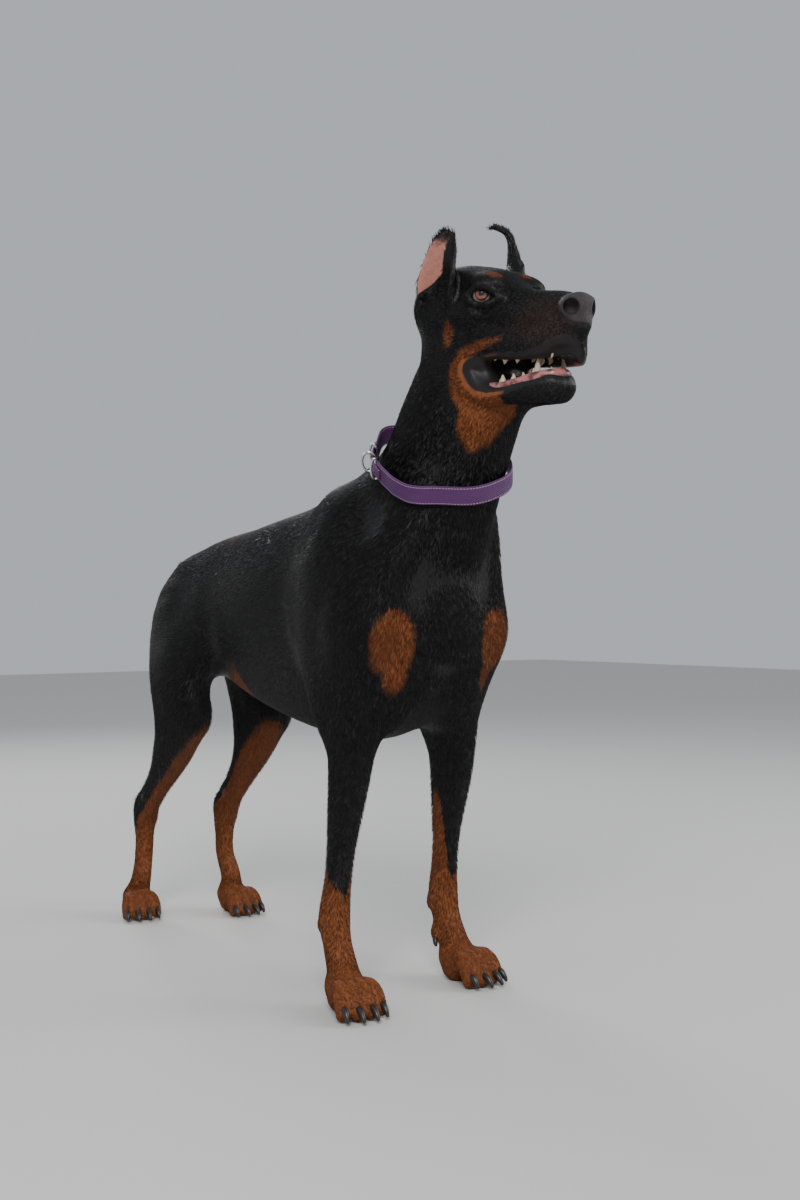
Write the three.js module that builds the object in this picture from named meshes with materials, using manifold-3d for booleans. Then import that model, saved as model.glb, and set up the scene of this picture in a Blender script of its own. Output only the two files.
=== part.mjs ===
// Doberman pinscher, standing, life size. Millimetres, +Z up, floor at z = 0.
// The dog faces -Y, its left side is +X. Every sub-part is one closed solid.
import * as THREE from 'three';
import { mergeVertices } from 'three/addons/utils/BufferGeometryUtils.js';
import Module from 'manifold-3d';

const wasm = await Module();
wasm.setup();

// Driving dimensions
const GAP = 0.3;                 // clearance between neighbours that touch
const FLOOR = 0;                 // level of the soles
const BROAD = 26;                // sides of the trunk's rings
const LIMB_SIDES = 12;           // sides of a leg's rings
const RAY_STEP = 2.5;            // stride of the search for the surface

// Where the joints of each leg stand, and how far each paw turns outwards in degrees
const STANCE = {
  fore_right: { side: -1, elbow: [-80, -276, 352], carpus: [-108, -274, 113], paw: [-121, -322], turn: 9 },
  fore_left: { side: 1, elbow: [88, -280, 352], carpus: [101, -246, 113], paw: [98, -292], turn: 5 },
  hind_right: {
    side: -1, hip: [-56, 205, 545], knee: [-84, 150, 352], hock: [-54, 376, 172], paw: [-72, 364], turn: 16,
  },
  hind_left: {
    side: 1, hip: [56, 200, 545], knee: [70, 156, 350], hock: [72, 322, 172], paw: [75, 292], turn: 2,
  },
};
const FORE_PAW = 1.0;            // size of the front paws
const HIND_PAW = 0.92;           // size of the hind paws
const HEAD_AT = [27.5, -430.4, 914.8];                       // middle of the skull at eye height
const HEAD_TURN = { yaw: -5.5, pitch: -9.8, roll: -3.4 };    // degrees
const EYE = { at: [37.5, -38, 10], radius: 12.5 };
const COLLAR = { at: [15, -350, 720], up: [-0.4, -0.445, 1], width: 26, thick: 3 };

const COLOURS = {
  black: { color: 0x1c1a1a, roughness: 0.42, metalness: 0 },
  tan: { color: 0x8a4a22, roughness: 0.55, metalness: 0 },
  skin: { color: 0xa86a60, roughness: 0.6, metalness: 0 },
  eye: { color: 0x6b3312, roughness: 0.1, metalness: 0 },
  claw: { color: 0x1a1614, roughness: 0.35, metalness: 0 },
  tongue: { color: 0xb86a70, roughness: 0.35, metalness: 0 },
  webbing: { color: 0x4a1f5e, roughness: 0.7, metalness: 0 },
  metal: { color: 0xb9b9bd, roughness: 0.28, metalness: 1 },
};

// Vectors
const add = (a, b, t = 1) => [a[0] + b[0] * t, a[1] + b[1] * t, a[2] + b[2] * t];
const sub = (a, b) => add(a, b, -1);
const dot = (a, b) => a[0] * b[0] + a[1] * b[1] + a[2] * b[2];
const size = (a) => Math.hypot(...a);
const unit = (a) => a.map((v) => v / size(a));
const cross = (a, b) => [a[1] * b[2] - a[2] * b[1], a[2] * b[0] - a[0] * b[2], a[0] * b[1] - a[1] * b[0]];
const mix = (a, b, t) => a.map((v, i) => v + (b[i] - v) * t);
const radians = (deg) => THREE.MathUtils.degToRad(deg);
const clamp = (v, lo, hi) => Math.min(Math.max(v, lo), hi);

// A smooth curve of rows of any length through the given rows, n steps to a span
function smooth(rows, n) {
  const before = rows[0].map((v, i) => 2 * v - rows[1][i]);
  const after = rows.at(-1).map((v, i) => 2 * v - rows.at(-2)[i]);
  const all = [before, ...rows, after];
  const out = [];
  for (let i = 1; i < all.length - 2; i++) {
    for (let j = 0; j < n; j++) {
      const t = j / n;
      out.push(all[i].map((p1, c) => {
        const [p0, p2, p3] = [all[i - 1][c], all[i + 1][c], all[i + 2][c]];
        return 0.5 * (2 * p1 + (p2 - p0) * t + (2 * p0 - 5 * p1 + 4 * p2 - p3) * t * t
          + (3 * p1 - p0 - 3 * p2 + p3) * t * t * t);
      }));
    }
  }
  out.push(rows.at(-1));
  return out;
}

// The value of each column of a smooth table at y, held at its ends
function lookUp(table, y) {
  if (y <= table[0][0]) return table[0];
  for (let i = 1; i < table.length; i++) {
    if (y <= table[i][0]) {
      const t = (y - table[i - 1][0]) / (table[i][0] - table[i - 1][0]);
      return mix(table[i - 1], table[i], t);
    }
  }
  return table.at(-1);
}

// Distance to an ellipse or ellipsoid, from its scaled offsets
const roundness = (k0, k1) => k0 * (k0 - 1) / (k1 + 1e-6);

// Forms. Each is a function of a point that is below zero inside, with the width k of its blend.

// A muscle or bone along rows of x, y, z, radius to the side, radius in depth
function muscle(rows, k, n = 3, side = [1, 0, 0]) {
  const path = smooth(rows, n);
  const s = unit(side);
  const inside = (p) => {
    let best = Infinity;
    for (let i = 1; i < path.length; i++) {
      const [a, b] = [path[i - 1], path[i]];
      const e = sub(b, a);
      const q = sub(p, a);
      const t = clamp(dot(q, e) / Math.max(dot(e, e), 1e-9), 0, 1);
      const off = add(q, e, -t);
      const [ru, rw] = [a[3] + t * (b[3] - a[3]), a[4] + t * (b[4] - a[4])];
      const u = dot(off, s);
      const w2 = Math.max(dot(off, off) - u * u, 0);
      const k0 = Math.sqrt(u * u / ru ** 2 + w2 / rw ** 2);
      best = Math.min(best, roundness(k0, Math.sqrt(u * u / ru ** 4 + w2 / rw ** 4)));
    }
    return best;
  };
  return { inside, k };
}

// An ellipsoid with its half sizes
function ball(c, r, k) {
  const inside = (p) => {
    const q = [(p[0] - c[0]) / r[0], (p[1] - c[1]) / r[1], (p[2] - c[2]) / r[2]];
    return roundness(size(q), Math.hypot(q[0] / r[0], q[1] / r[1], q[2] / r[2]));
  };
  return { inside, k };
}

// The same form on both sides of the middle plane
const paired = (form) => ({ inside: (p) => form.inside([Math.abs(p[0]), p[1], p[2]]), k: form.k });

// All forms of a region, blended into one
function blend(forms) {
  return (p) => {
    let d = 200;
    for (const form of forms) {
      const e = form.inside(p);
      const h = Math.max(form.k - Math.abs(d - e), 0) / form.k;
      d = Math.min(d, e) - h * h * form.k / 4;
    }
    return d;
  };
}

// Solids

function toSolid(points, faces) {
  const geometry = new THREE.BufferGeometry();
  geometry.setAttribute('position', new THREE.Float32BufferAttribute(points.flat(), 3));
  geometry.setIndex(faces.flat());
  const merged = mergeVertices(geometry, 1e-4);
  return new wasm.Manifold(new wasm.Mesh({
    numProp: 3,
    vertProperties: new Float32Array(merged.attributes.position.array),
    triVerts: new Uint32Array(merged.index.array),
  }));
}

// The largest closed body of a solid, which drops loose scraps and sealed hollows
function largest(solid) {
  const bodies = solid.decompose();
  return bodies.reduce((a, b) => (Math.abs(b.volume()) > Math.abs(a.volume()) ? b : a));
}

// Closed rings of equal count joined to a skin, with a point at either end
function skinOver(rings, first, last) {
  const n = rings[0].length;
  const points = [...rings.flat(), first, last];
  const faces = [];
  for (let i = 0; i + 1 < rings.length; i++) {
    for (let j = 0; j < n; j++) {
      const [a, b] = [i * n + j, i * n + (j + 1) % n];
      faces.push([a, b, b + n], [a, b + n, a + n]);
    }
  }
  const [start, end, tail] = [rings.length * n, rings.length * n + 1, (rings.length - 1) * n];
  for (let j = 0; j < n; j++) {
    faces.push([start, (j + 1) % n, j], [end, tail + j, tail + (j + 1) % n]);
  }
  const solid = toSolid(points, faces);
  return solid.volume() < 0 ? toSolid(points, faces.map(([a, b, c]) => [a, c, b])) : solid;
}

// How far the surface of a form lies from c along dir, at most cap
function reach(field, c, dir, cap, grow) {
  let far = RAY_STEP;
  while (far < cap + grow && field(add(c, dir, far)) < grow) far += RAY_STEP;
  let near = Math.max(far - RAY_STEP, 0);
  far = Math.min(far, cap + grow);
  for (let i = 0; i < 7; i++) {
    const middle = (near + far) / 2;
    if (field(add(c, dir, middle)) < grow) near = middle;
    else far = middle;
  }
  return Math.max((near + far) / 2, 0.4);
}

// A form wrapped by rings about a spine. Ends are flat, or round where round says so.
function wrap(field, spine, sides, cap, grow = 0, round = [true, true], side = [1, 0, 0], place = (p) => p) {
  const last = spine.length - 1;
  const rings = spine.map((c, i) => {
    const t = unit(sub(spine[Math.min(i + 1, last)], spine[Math.max(i - 1, 0)]));
    const u = unit(add(side, t, -dot(side, t)));
    const v = cross(t, u);
    return Array.from({ length: sides }, (_, j) => {
      const a = 2 * Math.PI * (j + 0.5) / sides;
      const dir = add(u.map((w) => w * Math.cos(a)), v, Math.sin(a));
      return place(add(c, dir, reach(field, c, dir, cap, grow)));
    });
  });
  const end = (i, away) => {
    const t = unit(sub(spine[i], spine[i + away]));
    const far = round[i ? 1 : 0] ? reach(field, spine[i], t, cap, grow) : 0;
    return place(add(spine[i], t, far));
  };
  return skinOver(rings, end(0, 1), end(last, -1));
}

// A tube of elliptical rings along rows of x, y, z, radius to the side, radius in depth
function tube(rows, sides, grow = 0, n = 1, side = [1, 0, 0], place = (p) => p) {
  const path = smooth(rows, n);
  const last = path.length - 1;
  const rings = path.map((r, i) => {
    const t = unit(sub(path[Math.min(i + 1, last)].slice(0, 3), path[Math.max(i - 1, 0)].slice(0, 3)));
    const u = unit(add(side, t, -dot(side, t)));
    const v = cross(t, u);
    return Array.from({ length: sides }, (_, j) => {
      const a = 2 * Math.PI * (j + 0.5) / sides;
      return place(add(add(r.slice(0, 3), u, (r[3] + grow) * Math.cos(a)), v, (r[4] + grow) * Math.sin(a)));
    });
  });
  const [head, foot] = [path[0], path[last]];
  const out = (i, away) => {
    const t = unit(sub(path[i].slice(0, 3), path[i + away].slice(0, 3)));
    return place(add(path[i].slice(0, 3), t, (path[i][4] + grow) * 0.45));
  };
  return skinOver(rings, head && out(0, 1), foot && out(last, -1));
}

const middles = (a, b, count) => Array.from({ length: count + 1 }, (_, i) => mix(a, b, i / count));
const unite = (solids) => solids.reduce((a, b) => a.add(b));
const mirrored = (rows, s) => rows.map((r) => [s * r[0], ...r.slice(1)]);

// Everything below the floor is cut away, which leaves flat soles
function floorBlock() {
  const block = new THREE.BoxGeometry(900, 1600, 200);
  block.translate(0, 0, FLOOR - 100);
  block.deleteAttribute('normal');
  block.deleteAttribute('uv');
  const flat = mergeVertices(block);
  const p = flat.attributes.position;
  const points = Array.from({ length: p.count }, (_, i) => [p.getX(i), p.getY(i), p.getZ(i)]);
  const index = Array.from(flat.index.array);
  return toSolid(points, Array.from({ length: index.length / 3 }, (_, i) => index.slice(3 * i, 3 * i + 3)));
}
const ground = floorBlock();

// Trunk: y, top, bottom, half width, how much the underside narrows
const TRUNK = smooth([
  [-376, 555, 462, 34, 0.0], [-358, 592, 420, 54, 0.05], [-332, 626, 384, 74, 0.1], [-290, 658, 354, 90, 0.2],
  [-240, 680, 340, 98, 0.28], [-180, 683, 336, 104, 0.32], [-100, 672, 343, 108, 0.32], [-20, 661, 357, 106, 0.28],
  [60, 649, 377, 96, 0.2], [130, 642, 402, 85, 0.1], [190, 632, 428, 78, 0.1], [245, 614, 450, 74, 0.1],
  [288, 590, 476, 60, 0.1], [314, 560, 508, 34, 0.1],
], 6);
const trunk = {
  k: 20,
  inside: ([x, y, z]) => {
    const [yc, top, bottom, half, keel] = lookUp(TRUNK, y);
    const [zc, h] = [(top + bottom) / 2, (top - bottom) / 2];
    const v = z - zc;
    const w = half * (1 + keel * clamp(v / h, -1, 1) * 0.5 - keel * 0.12);
    const over = y < TRUNK[0][0] || y > TRUNK.at(-1)[0] ? y - yc : 0;
    const w2 = v * v + over * over * 4;
    const k0 = Math.sqrt(x * x / w ** 2 + w2 / h ** 2);
    return roundness(k0, Math.sqrt(x * x / w ** 4 + w2 / h ** 4));
  },
};

// Muscle masses of one side of the trunk. The upper ones are the shoulder blade, the forechest and the
// long muscle of the neck, the lower ones the upper arm and the muscle behind it.
const upperForms = (s) => [
  muscle(mirrored([[40, -196, 660, 20, 30], [70, -240, 612, 27, 50], [90, -285, 540, 30, 56],
    [95, -320, 482, 29, 44]], s), 40, 6),
  muscle(mirrored([[30, -345, 545, 28, 26], [36, -358, 492, 36, 28], [44, -346, 432, 36, 28],
    [56, -312, 386, 28, 28]], s), 40),
  muscle([[14 + s * 36, -346, 678, 14, 24], [8 + s * 60, -362, 630, 22, 32], [2 + s * 80, -350, 570, 25, 34],
    [s * 93, -330, 508, 26, 34]], 46),
];
const lowerForms = (s) => [
  muscle(mirrored([[94, -322, 488, 27, 36], [98, -302, 440, 28, 44], [90, -284, 385, 27, 42],
    [84, -278, 350, 24, 38]], s), 34),
  muscle(mirrored([[84, -215, 560, 24, 48], [92, -226, 480, 30, 52], [92, -240, 410, 26, 40],
    [88, -240, 368, 18, 22]], s), 34, 5),
];
const chestForms = [trunk, ...upperForms(-1), ...upperForms(1)];
const torsoField = blend([...chestForms, ...lowerForms(-1), ...lowerForms(1)]);
const TORSO_Y = [-362, -346, -326, -302, -278, -250, -215, -180, -140, -90, -40, 10, 60, 110, 160, 205, 240, 270,
  294, 308];
const ARM_SPINE = [[66, -232, 590], [76, -252, 548], [84, -272, 505], [90, -280, 462], [90, -276, 420],
  [87, -272, 386], [86, -270, 364]];

function torso(grow = 0) {
  const spine = TORSO_Y.map((y) => {
    const [, top, bottom] = lookUp(TRUNK, y);
    return [0, y, (top + bottom) / 2];
  });
  const arm = (s) => wrap(torsoField, mirrored(ARM_SPINE, s), 14, 66, grow);
  return unite([wrap(blend(chestForms), spine, BROAD, 190, grow), arm(-1), arm(1)]);
}

// Neck: rises forwards out of the shoulders to the back of the skull
const neckField = blend([
  muscle([[0, -205, 560, 86, 104], [7, -275, 620, 76, 98], [15, -332, 690, 67, 79], [19, -360, 746, 61, 80],
    [22, -385, 800, 54, 72], [25, -400, 850, 48, 64], [27, -400, 900, 44, 55]], 36, 4),
  muscle([[0, -150, 640, 16, 28], [6, -215, 680, 16, 30], [13, -275, 748, 16, 28], [20, -325, 830, 18, 26]], 44),
  muscle([[0, -345, 560, 44, 36], [8, -398, 640, 40, 34], [18, -425, 710, 30, 34], [24, -455, 780, 30, 30]], 44),
  ...[-1, 1].map((s) => upperForms(s)[2]),
]);
const NECK_SPINE = smooth([[0, -230, 560], [8, -290, 620], [15, -335, 690], [20, -368, 746], [23, -390, 800],
  [25, -402, 850], [27, -402, 890]], 2);
const neck = (grow = 0) => wrap(neckField, NECK_SPINE, 18, 140, grow);

// Thigh, from the hip over the quadriceps and hamstrings to the knee
function thighField({ side: s, hip: [hx, hy, hz], knee: [kx, ky, kz] }) {
  return blend([
    muscle([[hx - s * 10, hy - 55, hz + 12, 26, 44], [hx + s * 8, hy - 60, hz - 50, 36, 54],
      [kx - s * 2, ky + 28, kz + 75, 38, 52], [kx, ky + 14, kz + 12, 31, 38]], 28),
    muscle([[hx - s * 10, hy + 15, hz, 26, 54], [hx + s * 12, hy + 20, hz - 50, 36, 64],
      [kx - s * 3, ky + 62, kz + 70, 31, 54], [kx - s * 2, ky + 52, kz - 10, 25, 38]], 28),
    muscle([[hx - s * 14, hy + 72, hz - 18, 24, 26], [hx + s * 2, hy + 62, hz - 90, 28, 27],
      [kx - s * 4, ky + 88, kz + 45, 24, 25], [kx - s * 3, ky + 72, kz - 30, 17, 23]], 30),
    ball([kx, ky - 12, kz - 2], [20, 18, 26], 22),
  ]);
}

function thigh(leg, grow = 0) {
  const { hip: [hx, hy, hz], knee: [kx, ky, kz] } = leg;
  const spine = [[hx, hy + 8, hz + 12], [hx, hy + 12, hz - 25], [(hx + kx) / 2, hy + 10, hz - 65],
    [kx, ky + 60, kz + 85], [kx, ky + 50, kz + 45], [kx, ky + 38, kz + 10], [kx, ky + 32, kz - 18]];
  return wrap(thighField(leg), smooth(spine, 2), 18, 120, grow);
}

// Shin with the calf and the tendon that runs to the point of the hock
function shinField({ side: s, knee: [kx, ky, kz], hock: [jx, jy, jz] }) {
  const m = (t) => mix([kx, ky, kz], [jx, jy, jz], t);
  const [a, b, c] = [m(0.3), m(0.6), m(0.85)];
  return blend([
    muscle([[kx, ky + 14, kz - 4, 29, 38], [a[0], a[1] + 2, a[2], 26, 36], [b[0], b[1] - 6, b[2], 19, 25],
      [c[0], c[1] - 12, c[2], 15, 18], [jx, jy - 14, jz - 4, 16, 19]], 16),
    muscle([[kx - s * 2, ky + 62, kz - 6, 22, 30], [a[0], a[1] + 38, a[2] + 2, 20, 26],
      [b[0], b[1] + 18, b[2] + 10, 12, 16], [jx, jy + 8, jz + 22, 10, 14], [jx, jy + 15, jz + 6, 10, 12]], 18),
  ]);
}

function shin(leg, grow = 0) {
  const { knee: [kx, ky, kz], hock: [jx, jy, jz] } = leg;
  const from = [kx, ky + 32, kz + 4];
  const to = [jx, jy, jz + 6];
  return wrap(shinField(leg), middles(from, to, 9), LIMB_SIDES, 80, grow);
}

// Front leg from the elbow to the wrist
function foreField({ side: s, elbow: [ex, ey, ez], carpus: [cx, cy, cz], turn }) {
  const m = (t) => mix([ex, ey, ez], [cx, cy, cz], t);
  const [a, b, c] = [m(0.22), m(0.5), m(0.8)];
  const o = radians(turn) * s;
  const [fx, fy] = [Math.sin(o), -Math.cos(o)];
  return blend([
    muscle([[ex, ey, ez + 25, 28, 40], [ex, ey, ez, 29, 39], [a[0], a[1] - 2, a[2], 27, 34],
      [b[0], b[1], b[2], 22, 27], [c[0], c[1], c[2], 18.5, 21.5], [cx, cy, cz, 21, 23],
      [cx + fx * 6, cy + fy * 8, cz - 32, 19, 20.5], [cx + fx * 18, cy + fy * 24, cz - 66, 21, 21.5],
      [cx + fx * 30, cy + fy * 40, cz - 92, 24, 22]], 14),
    muscle([[ex + s * 4, ey + 30, ez + 42, 13, 17], [ex, ey + 30, ez + 18, 13, 15], [ex, ey + 16, ez - 12, 12, 12]], 22),
    ball([cx, cy + 21, cz - 14], [11, 10, 13], 12),
    muscle([[ex + s * 9, ey - 16, ez - 8, 14, 16], [a[0] + s * 8, a[1] - 13, a[2] - 8, 14, 16],
      [b[0] + s * 3, b[1] - 9, b[2], 11, 12]], 16),
  ]);
}
const WRIST = 8;                 // the wrist's cut lies this far above the carpus

function foreleg(leg, grow = 0) {
  const { elbow, carpus } = leg;
  const from = add(elbow, [0, 4, 34]);
  const to = add(carpus, [0, 0, WRIST - grow]);
  return wrap(foreField(leg), middles(from, to, 9), LIMB_SIDES, 80, grow, [true, false]);
}

// A paw's own directions on the floor, and its palm, heel and four toes
function pawFrame(at, turn, s) {
  const o = radians(turn) * s;
  const f = [Math.sin(o), -Math.cos(o)];
  const l = [Math.cos(o), Math.sin(o)];
  const point = (a, b, z) => [at[0] + f[0] * a + l[0] * b, at[1] + f[1] * a + l[1] * b, z];
  return { point, across: [l[0], l[1], 0] };
}
const TOES = [[-24, 0.86, -3], [-8.5, 1.0, -1], [8.5, 1.0, 1], [24, 0.86, 3]];   // across, reach, spread

function toeRows(point, g, [b, long, spread]) {
  const w = b + spread;
  return [[...point(6 * g, b * 0.72 * g, 33 * g), 9.5 * g, 12 * g],
    [...point(26 * g * long, b * 0.92 * g, 34 * g), 10.5 * g, 12.5 * g],
    [...point(42 * g * long, w * 0.99 * g, 23 * g), 10.8 * g, 11.5 * g],
    [...point(50 * g * long, w * 1.04 * g, 8.5 * g), 9.5 * g, 10.5 * g]];
}

// The large pad under the palm, which gives the paw its flat sole
function palmPad(point, across, g, grow) {
  return tube([[...point(-2 * g, 0, 16 * g), 17 * g, 15 * g], [...point(-3 * g, 0, 7 * g), 18 * g, 16 * g],
    [...point(-3 * g, 0, -6), 15 * g, 13 * g]], 8, grow, 1, across);
}

function palmForms(point, across, g) {
  return [
    muscle([[...point(-14 * g, 0, 30 * g), 24 * g, 22 * g], [...point(4 * g, 0, 27 * g), 27 * g, 22 * g],
      [...point(20 * g, 0, 24 * g), 26 * g, 17 * g]], 12, 3, across),
    ball(point(-8 * g, 0, 12 * g), [21 * g, 20 * g, 14 * g], 8),
  ];
}

function toes(point, across, g, grow) {
  return TOES.map((toe) => tube(toeRows(point, g, toe), 8, grow, 2, across));
}

function forepaw(leg, grow = 0) {
  const { side: s, carpus, paw, turn } = leg;
  const { point, across } = pawFrame(paw, turn, s);
  const limb = { inside: foreField(leg), k: 14 };
  const field = blend([limb, ...palmForms(point, across, FORE_PAW)]);
  const top = add(carpus, [0, 0, WRIST + 12]);
  const spine = [top, add(carpus, [0, -2, -14]), mix(carpus, point(-14, 0, 60), 0.5), point(-14, 0, 60),
    point(-6, 0, 40), point(0, 0, 26), point(2, 0, 8)];
  const hand = wrap(field, spine, LIMB_SIDES, 60, grow, [false, true]);
  const dew = dewToe(leg, grow);
  const whole = unite([hand, palmPad(point, across, FORE_PAW, grow), ...toes(point, across, FORE_PAW, grow), dew]);
  return largest(whole.subtract(ground).subtract(foreleg(leg, GAP)));
}

// The short inner toe of a front paw, high on the wrist
function dewRows({ side: s, carpus: [cx, cy, cz] }) {
  return [[cx - s * 12, cy - 2, cz - 30, 7, 8], [cx - s * 18, cy - 4, cz - 40, 6.5, 7.5],
    [cx - s * 20, cy - 7, cz - 48, 5, 5.5]];
}
const dewToe = (leg, grow) => tube(dewRows(leg), 6, grow);

// Hind foot: hock, long metatarsus and paw
function hindField({ side: s, hock: [jx, jy, jz], paw: [px, py], turn }) {
  const o = radians(turn) * s;
  const [fx, fy] = [Math.sin(o), -Math.cos(o)];
  const { point, across } = pawFrame([px, py], turn, s);
  return blend([
    muscle([[jx, jy - 8, jz + 2, 17, 22], [jx, jy - 4, jz - 22, 16, 20], [jx + fx * 4, jy - 2, jz - 70, 15, 17],
      [(jx + px) / 2 + fx * 8, (jy + py) / 2 - 2 + fy * 4, 62, 16.5, 18], [px - fx * 10, py - fy * 10, 34, 20, 19]], 12),
    muscle([[jx, jy + 13, jz + 22, 9, 11], [jx, jy + 14, jz + 4, 10.5, 12], [jx, jy + 10, jz - 24, 9, 10]], 14),
    ...palmForms(point, across, HIND_PAW),
  ]);
}

function hindpaw(leg, grow = 0) {
  const { side: s, hock: [jx, jy, jz], paw, turn } = leg;
  const { point, across } = pawFrame(paw, turn, s);
  const spine = [[jx, jy + 4, jz + 20], [jx, jy + 3, jz], [jx, jy, jz - 30], mix([jx, jy, jz - 30], point(-14, 0, 56), 0.5),
    point(-14, 0, 56), point(-6, 0, 36), point(0, 0, 22), point(2, 0, 8)];
  const foot = wrap(hindField(leg), spine, LIMB_SIDES, 60, grow);
  const pad = palmPad(point, across, HIND_PAW, grow);
  return largest(unite([foot, pad, ...toes(point, across, HIND_PAW, grow)]).subtract(ground));
}

// Head, in its own frame: the middle plane is x = 0 and the nose points to -y
const headMatrix = new THREE.Matrix4().makeRotationZ(radians(HEAD_TURN.yaw))
  .multiply(new THREE.Matrix4().makeRotationX(radians(-HEAD_TURN.pitch)))
  .multiply(new THREE.Matrix4().makeRotationY(radians(HEAD_TURN.roll)))
  .premultiply(new THREE.Matrix4().makeTranslation(...HEAD_AT));
const onHead = (p) => new THREE.Vector3(...p).applyMatrix4(headMatrix).toArray();

const skullForms = [
  ball([0, 36, 3], [55, 68, 48], 14),
  ball([0, -12, 14], [44, 50, 32], 18),
  paired(muscle([[18, 84, 26, 14, 14], [25, 20, 34, 18, 12], [28, -30, 28, 17, 11]], 16)),
  paired(ball([34, -44, 26], [15, 17, 11], 14)),
  paired(ball([49, 0, -13], [13, 44, 14], 18)),
  paired(ball([40, 44, -38], [21, 36, 44], 22)),
  paired(ball([47, 68, -4], [20, 28, 32], 18)),
  muscle([[0, -25, -8, 44, 44], [0, -75, -20, 34, 38], [0, -130, -24, 26, 35], [0, -164, -24, 22, 31],
    [0, -182, -18, 17, 20]], 20),
  muscle([[0, -40, 14, 22, 13], [0, -100, 7, 16, 12], [0, -150, 6, 15, 12], [0, -182, 3, 15, 11]], 12),
  paired(muscle([[40, -40, -48, 10, 20], [34, -90, -49, 11, 20], [27, -130, -48, 11, 20], [17, -158, -46, 11, 22],
    [6, -171, -48, 10, 18]], 14)),
  ball([0, -186, -20], [16, 15, 15], 10),
  ball([0, -189, 1], [21, 13, 15], 7),
  paired(ball([14, -188, -4], [11, 12, 12], 6)),
];
const jawForms = [
  paired(muscle([[44, 30, -62, 11, 26], [43, -8, -84, 10, 18], [40, -55, -111, 10, 11], [34, -91, -110, 11, 12],
    [27, -125, -103, 11, 15], [16, -149, -97, 11, 18], [5, -156, -96, 10, 18]], 12)),
  muscle([[0, 10, -84, 36, 30], [0, -40, -104, 32, 18], [0, -90, -110, 26, 11], [0, -135, -108, 20, 11],
    [0, -150, -102, 13, 13]], 18),
  paired(muscle([[45, -6, -56, 8, 22], [44, -26, -74, 6, 20]], 12)),
];
const MOUTH = [[0, -24, -86, 24, 8], [0, -60, -86, 32, 16], [0, -100, -81, 29, 18], [0, -140, -74, 24, 17],
  [0, -176, -70, 20, 13], [0, -190, -70, 12, 8]];
const HEAD_Y = [96, 84, 66, 45, 22, 0, -20, -36, -48, -60, -76, -95, -115, -135, -155, -170, -182, -193];
const HEAD_Z = [[-200, -22], [-172, -22], [-120, -20], [-60, -10], [0, -6], [100, -2]];

// Teeth: x, y, z of the root, height, radius; upper ones hang, lower ones stand
const LOWER_TEETH = [[20, -138, -82, 20, 4], [4, -155, -80, 6, 2.6], [10, -151, -80, 7, 2.8],
  [26, -118, -90, 8, 3.6], [28, -102, -95, 9, 4.2], [30, -82, -99, 11, 4.8], [31, -62, -103, 8, 4.4]];
const UPPER_TEETH = [[16, -160, -52, 20, 4], [4, -170, -54, 7, 2.6], [10, -166, -54, 8, 2.8],
  [23, -126, -58, 8, 3.4], [26, -104, -60, 12, 4.8], [29, -82, -61, 13, 5.2], [30, -62, -62, 9, 4.6]];

function teeth(rows, up, grow) {
  return rows.flatMap(([x, y, z, high, r]) => [-1, 1].map((s) => tube([
    [s * x, y, z - up * 9, r, r * 1.2], [s * x, y, z + up * high * 0.3, r * 0.9, r * 1.1],
    [s * (x - 1), y + 2, z + up * high, 0.8, 0.8]], 5, grow, 1, [1, 0, 0], onHead)));
}

const mouthHollow = tube(MOUTH, 12, 0, 2, [1, 0, 0], onHead);
const LIDS = [
  [[56, -31, 8, 3.5, 3.5], [50, -41, 19, 3.5, 3.5], [42, -54, 20, 3.5, 3.5], [31, -65, 7, 3, 3]],
  [[56, -31, 8, 3.5, 3.5], [50, -42, -1, 3.5, 3.5], [41, -55, -1, 3.5, 3.5], [31, -65, 6, 3, 3]],
];

function globe(s, radius, grow) {
  const shape = { inside: (p) => size(sub(p, [s * EYE.at[0], EYE.at[1], EYE.at[2]])) - radius };
  const c = [s * EYE.at[0], EYE.at[1], EYE.at[2]];
  const spine = [-0.92, -0.7, -0.38, 0, 0.38, 0.7, 0.92].map((t) => add(c, [0, 0, t * radius]));
  return wrap(shape.inside, spine, 12, 20, grow, [true, true], [1, 0, 0], onHead);
}

function head(grow = 0) {
  const field = blend(skullForms);
  const heights = HEAD_Z.map((r) => [r[0], r[1]]);
  const spine = HEAD_Y.map((y) => [0, y, lookUp(heights, y)[1]]);
  const skull = wrap(field, spine, 24, 110, grow, [true, true], [1, 0, 0], onHead);
  const lids = LIDS.flatMap((rows) => [-1, 1].map((s) => tube(mirrored(rows, s), 6, grow, 2, [0, 0, 1], onHead)));
  const sockets = [-1, 1].map((s) => globe(s, EYE.radius + GAP, 0));
  const nostrils = [-1, 1].map((s) => tube([[s * 12, -182, -3, 4, 4], [s * 15, -196, -3, 4.5, 5.5],
    [s * 19, -210, -3, 5.5, 6]], 8, 0, 1, [1, 0, 0], onHead));
  const whole = unite([skull, ...lids]).subtract(unite([mouthHollow, ...sockets, ...nostrils]));
  return largest(whole.add(unite(teeth(UPPER_TEETH, -1, grow))));
}

function lowerJaw(grow = 0) {
  const field = blend(jawForms);
  const spine = [[0, 16, -84], [0, -8, -94], [0, -30, -101], [0, -52, -106], [0, -75, -109], [0, -100, -109],
    [0, -122, -106], [0, -140, -103], [0, -154, -101], [0, -164, -99]];
  const jaw = wrap(field, spine, 20, 70, grow, [true, true], [1, 0, 0], onHead).subtract(mouthHollow);
  return largest(jaw.add(unite(teeth(LOWER_TEETH, 1, grow))));
}
const TONGUE = [[0, -30, -93, 17, 7], [0, -60, -97, 20, 6], [0, -95, -95, 19, 5], [0, -128, -90, 16, 4.5],
  [0, -148, -87, 11, 3.5]];

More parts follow.
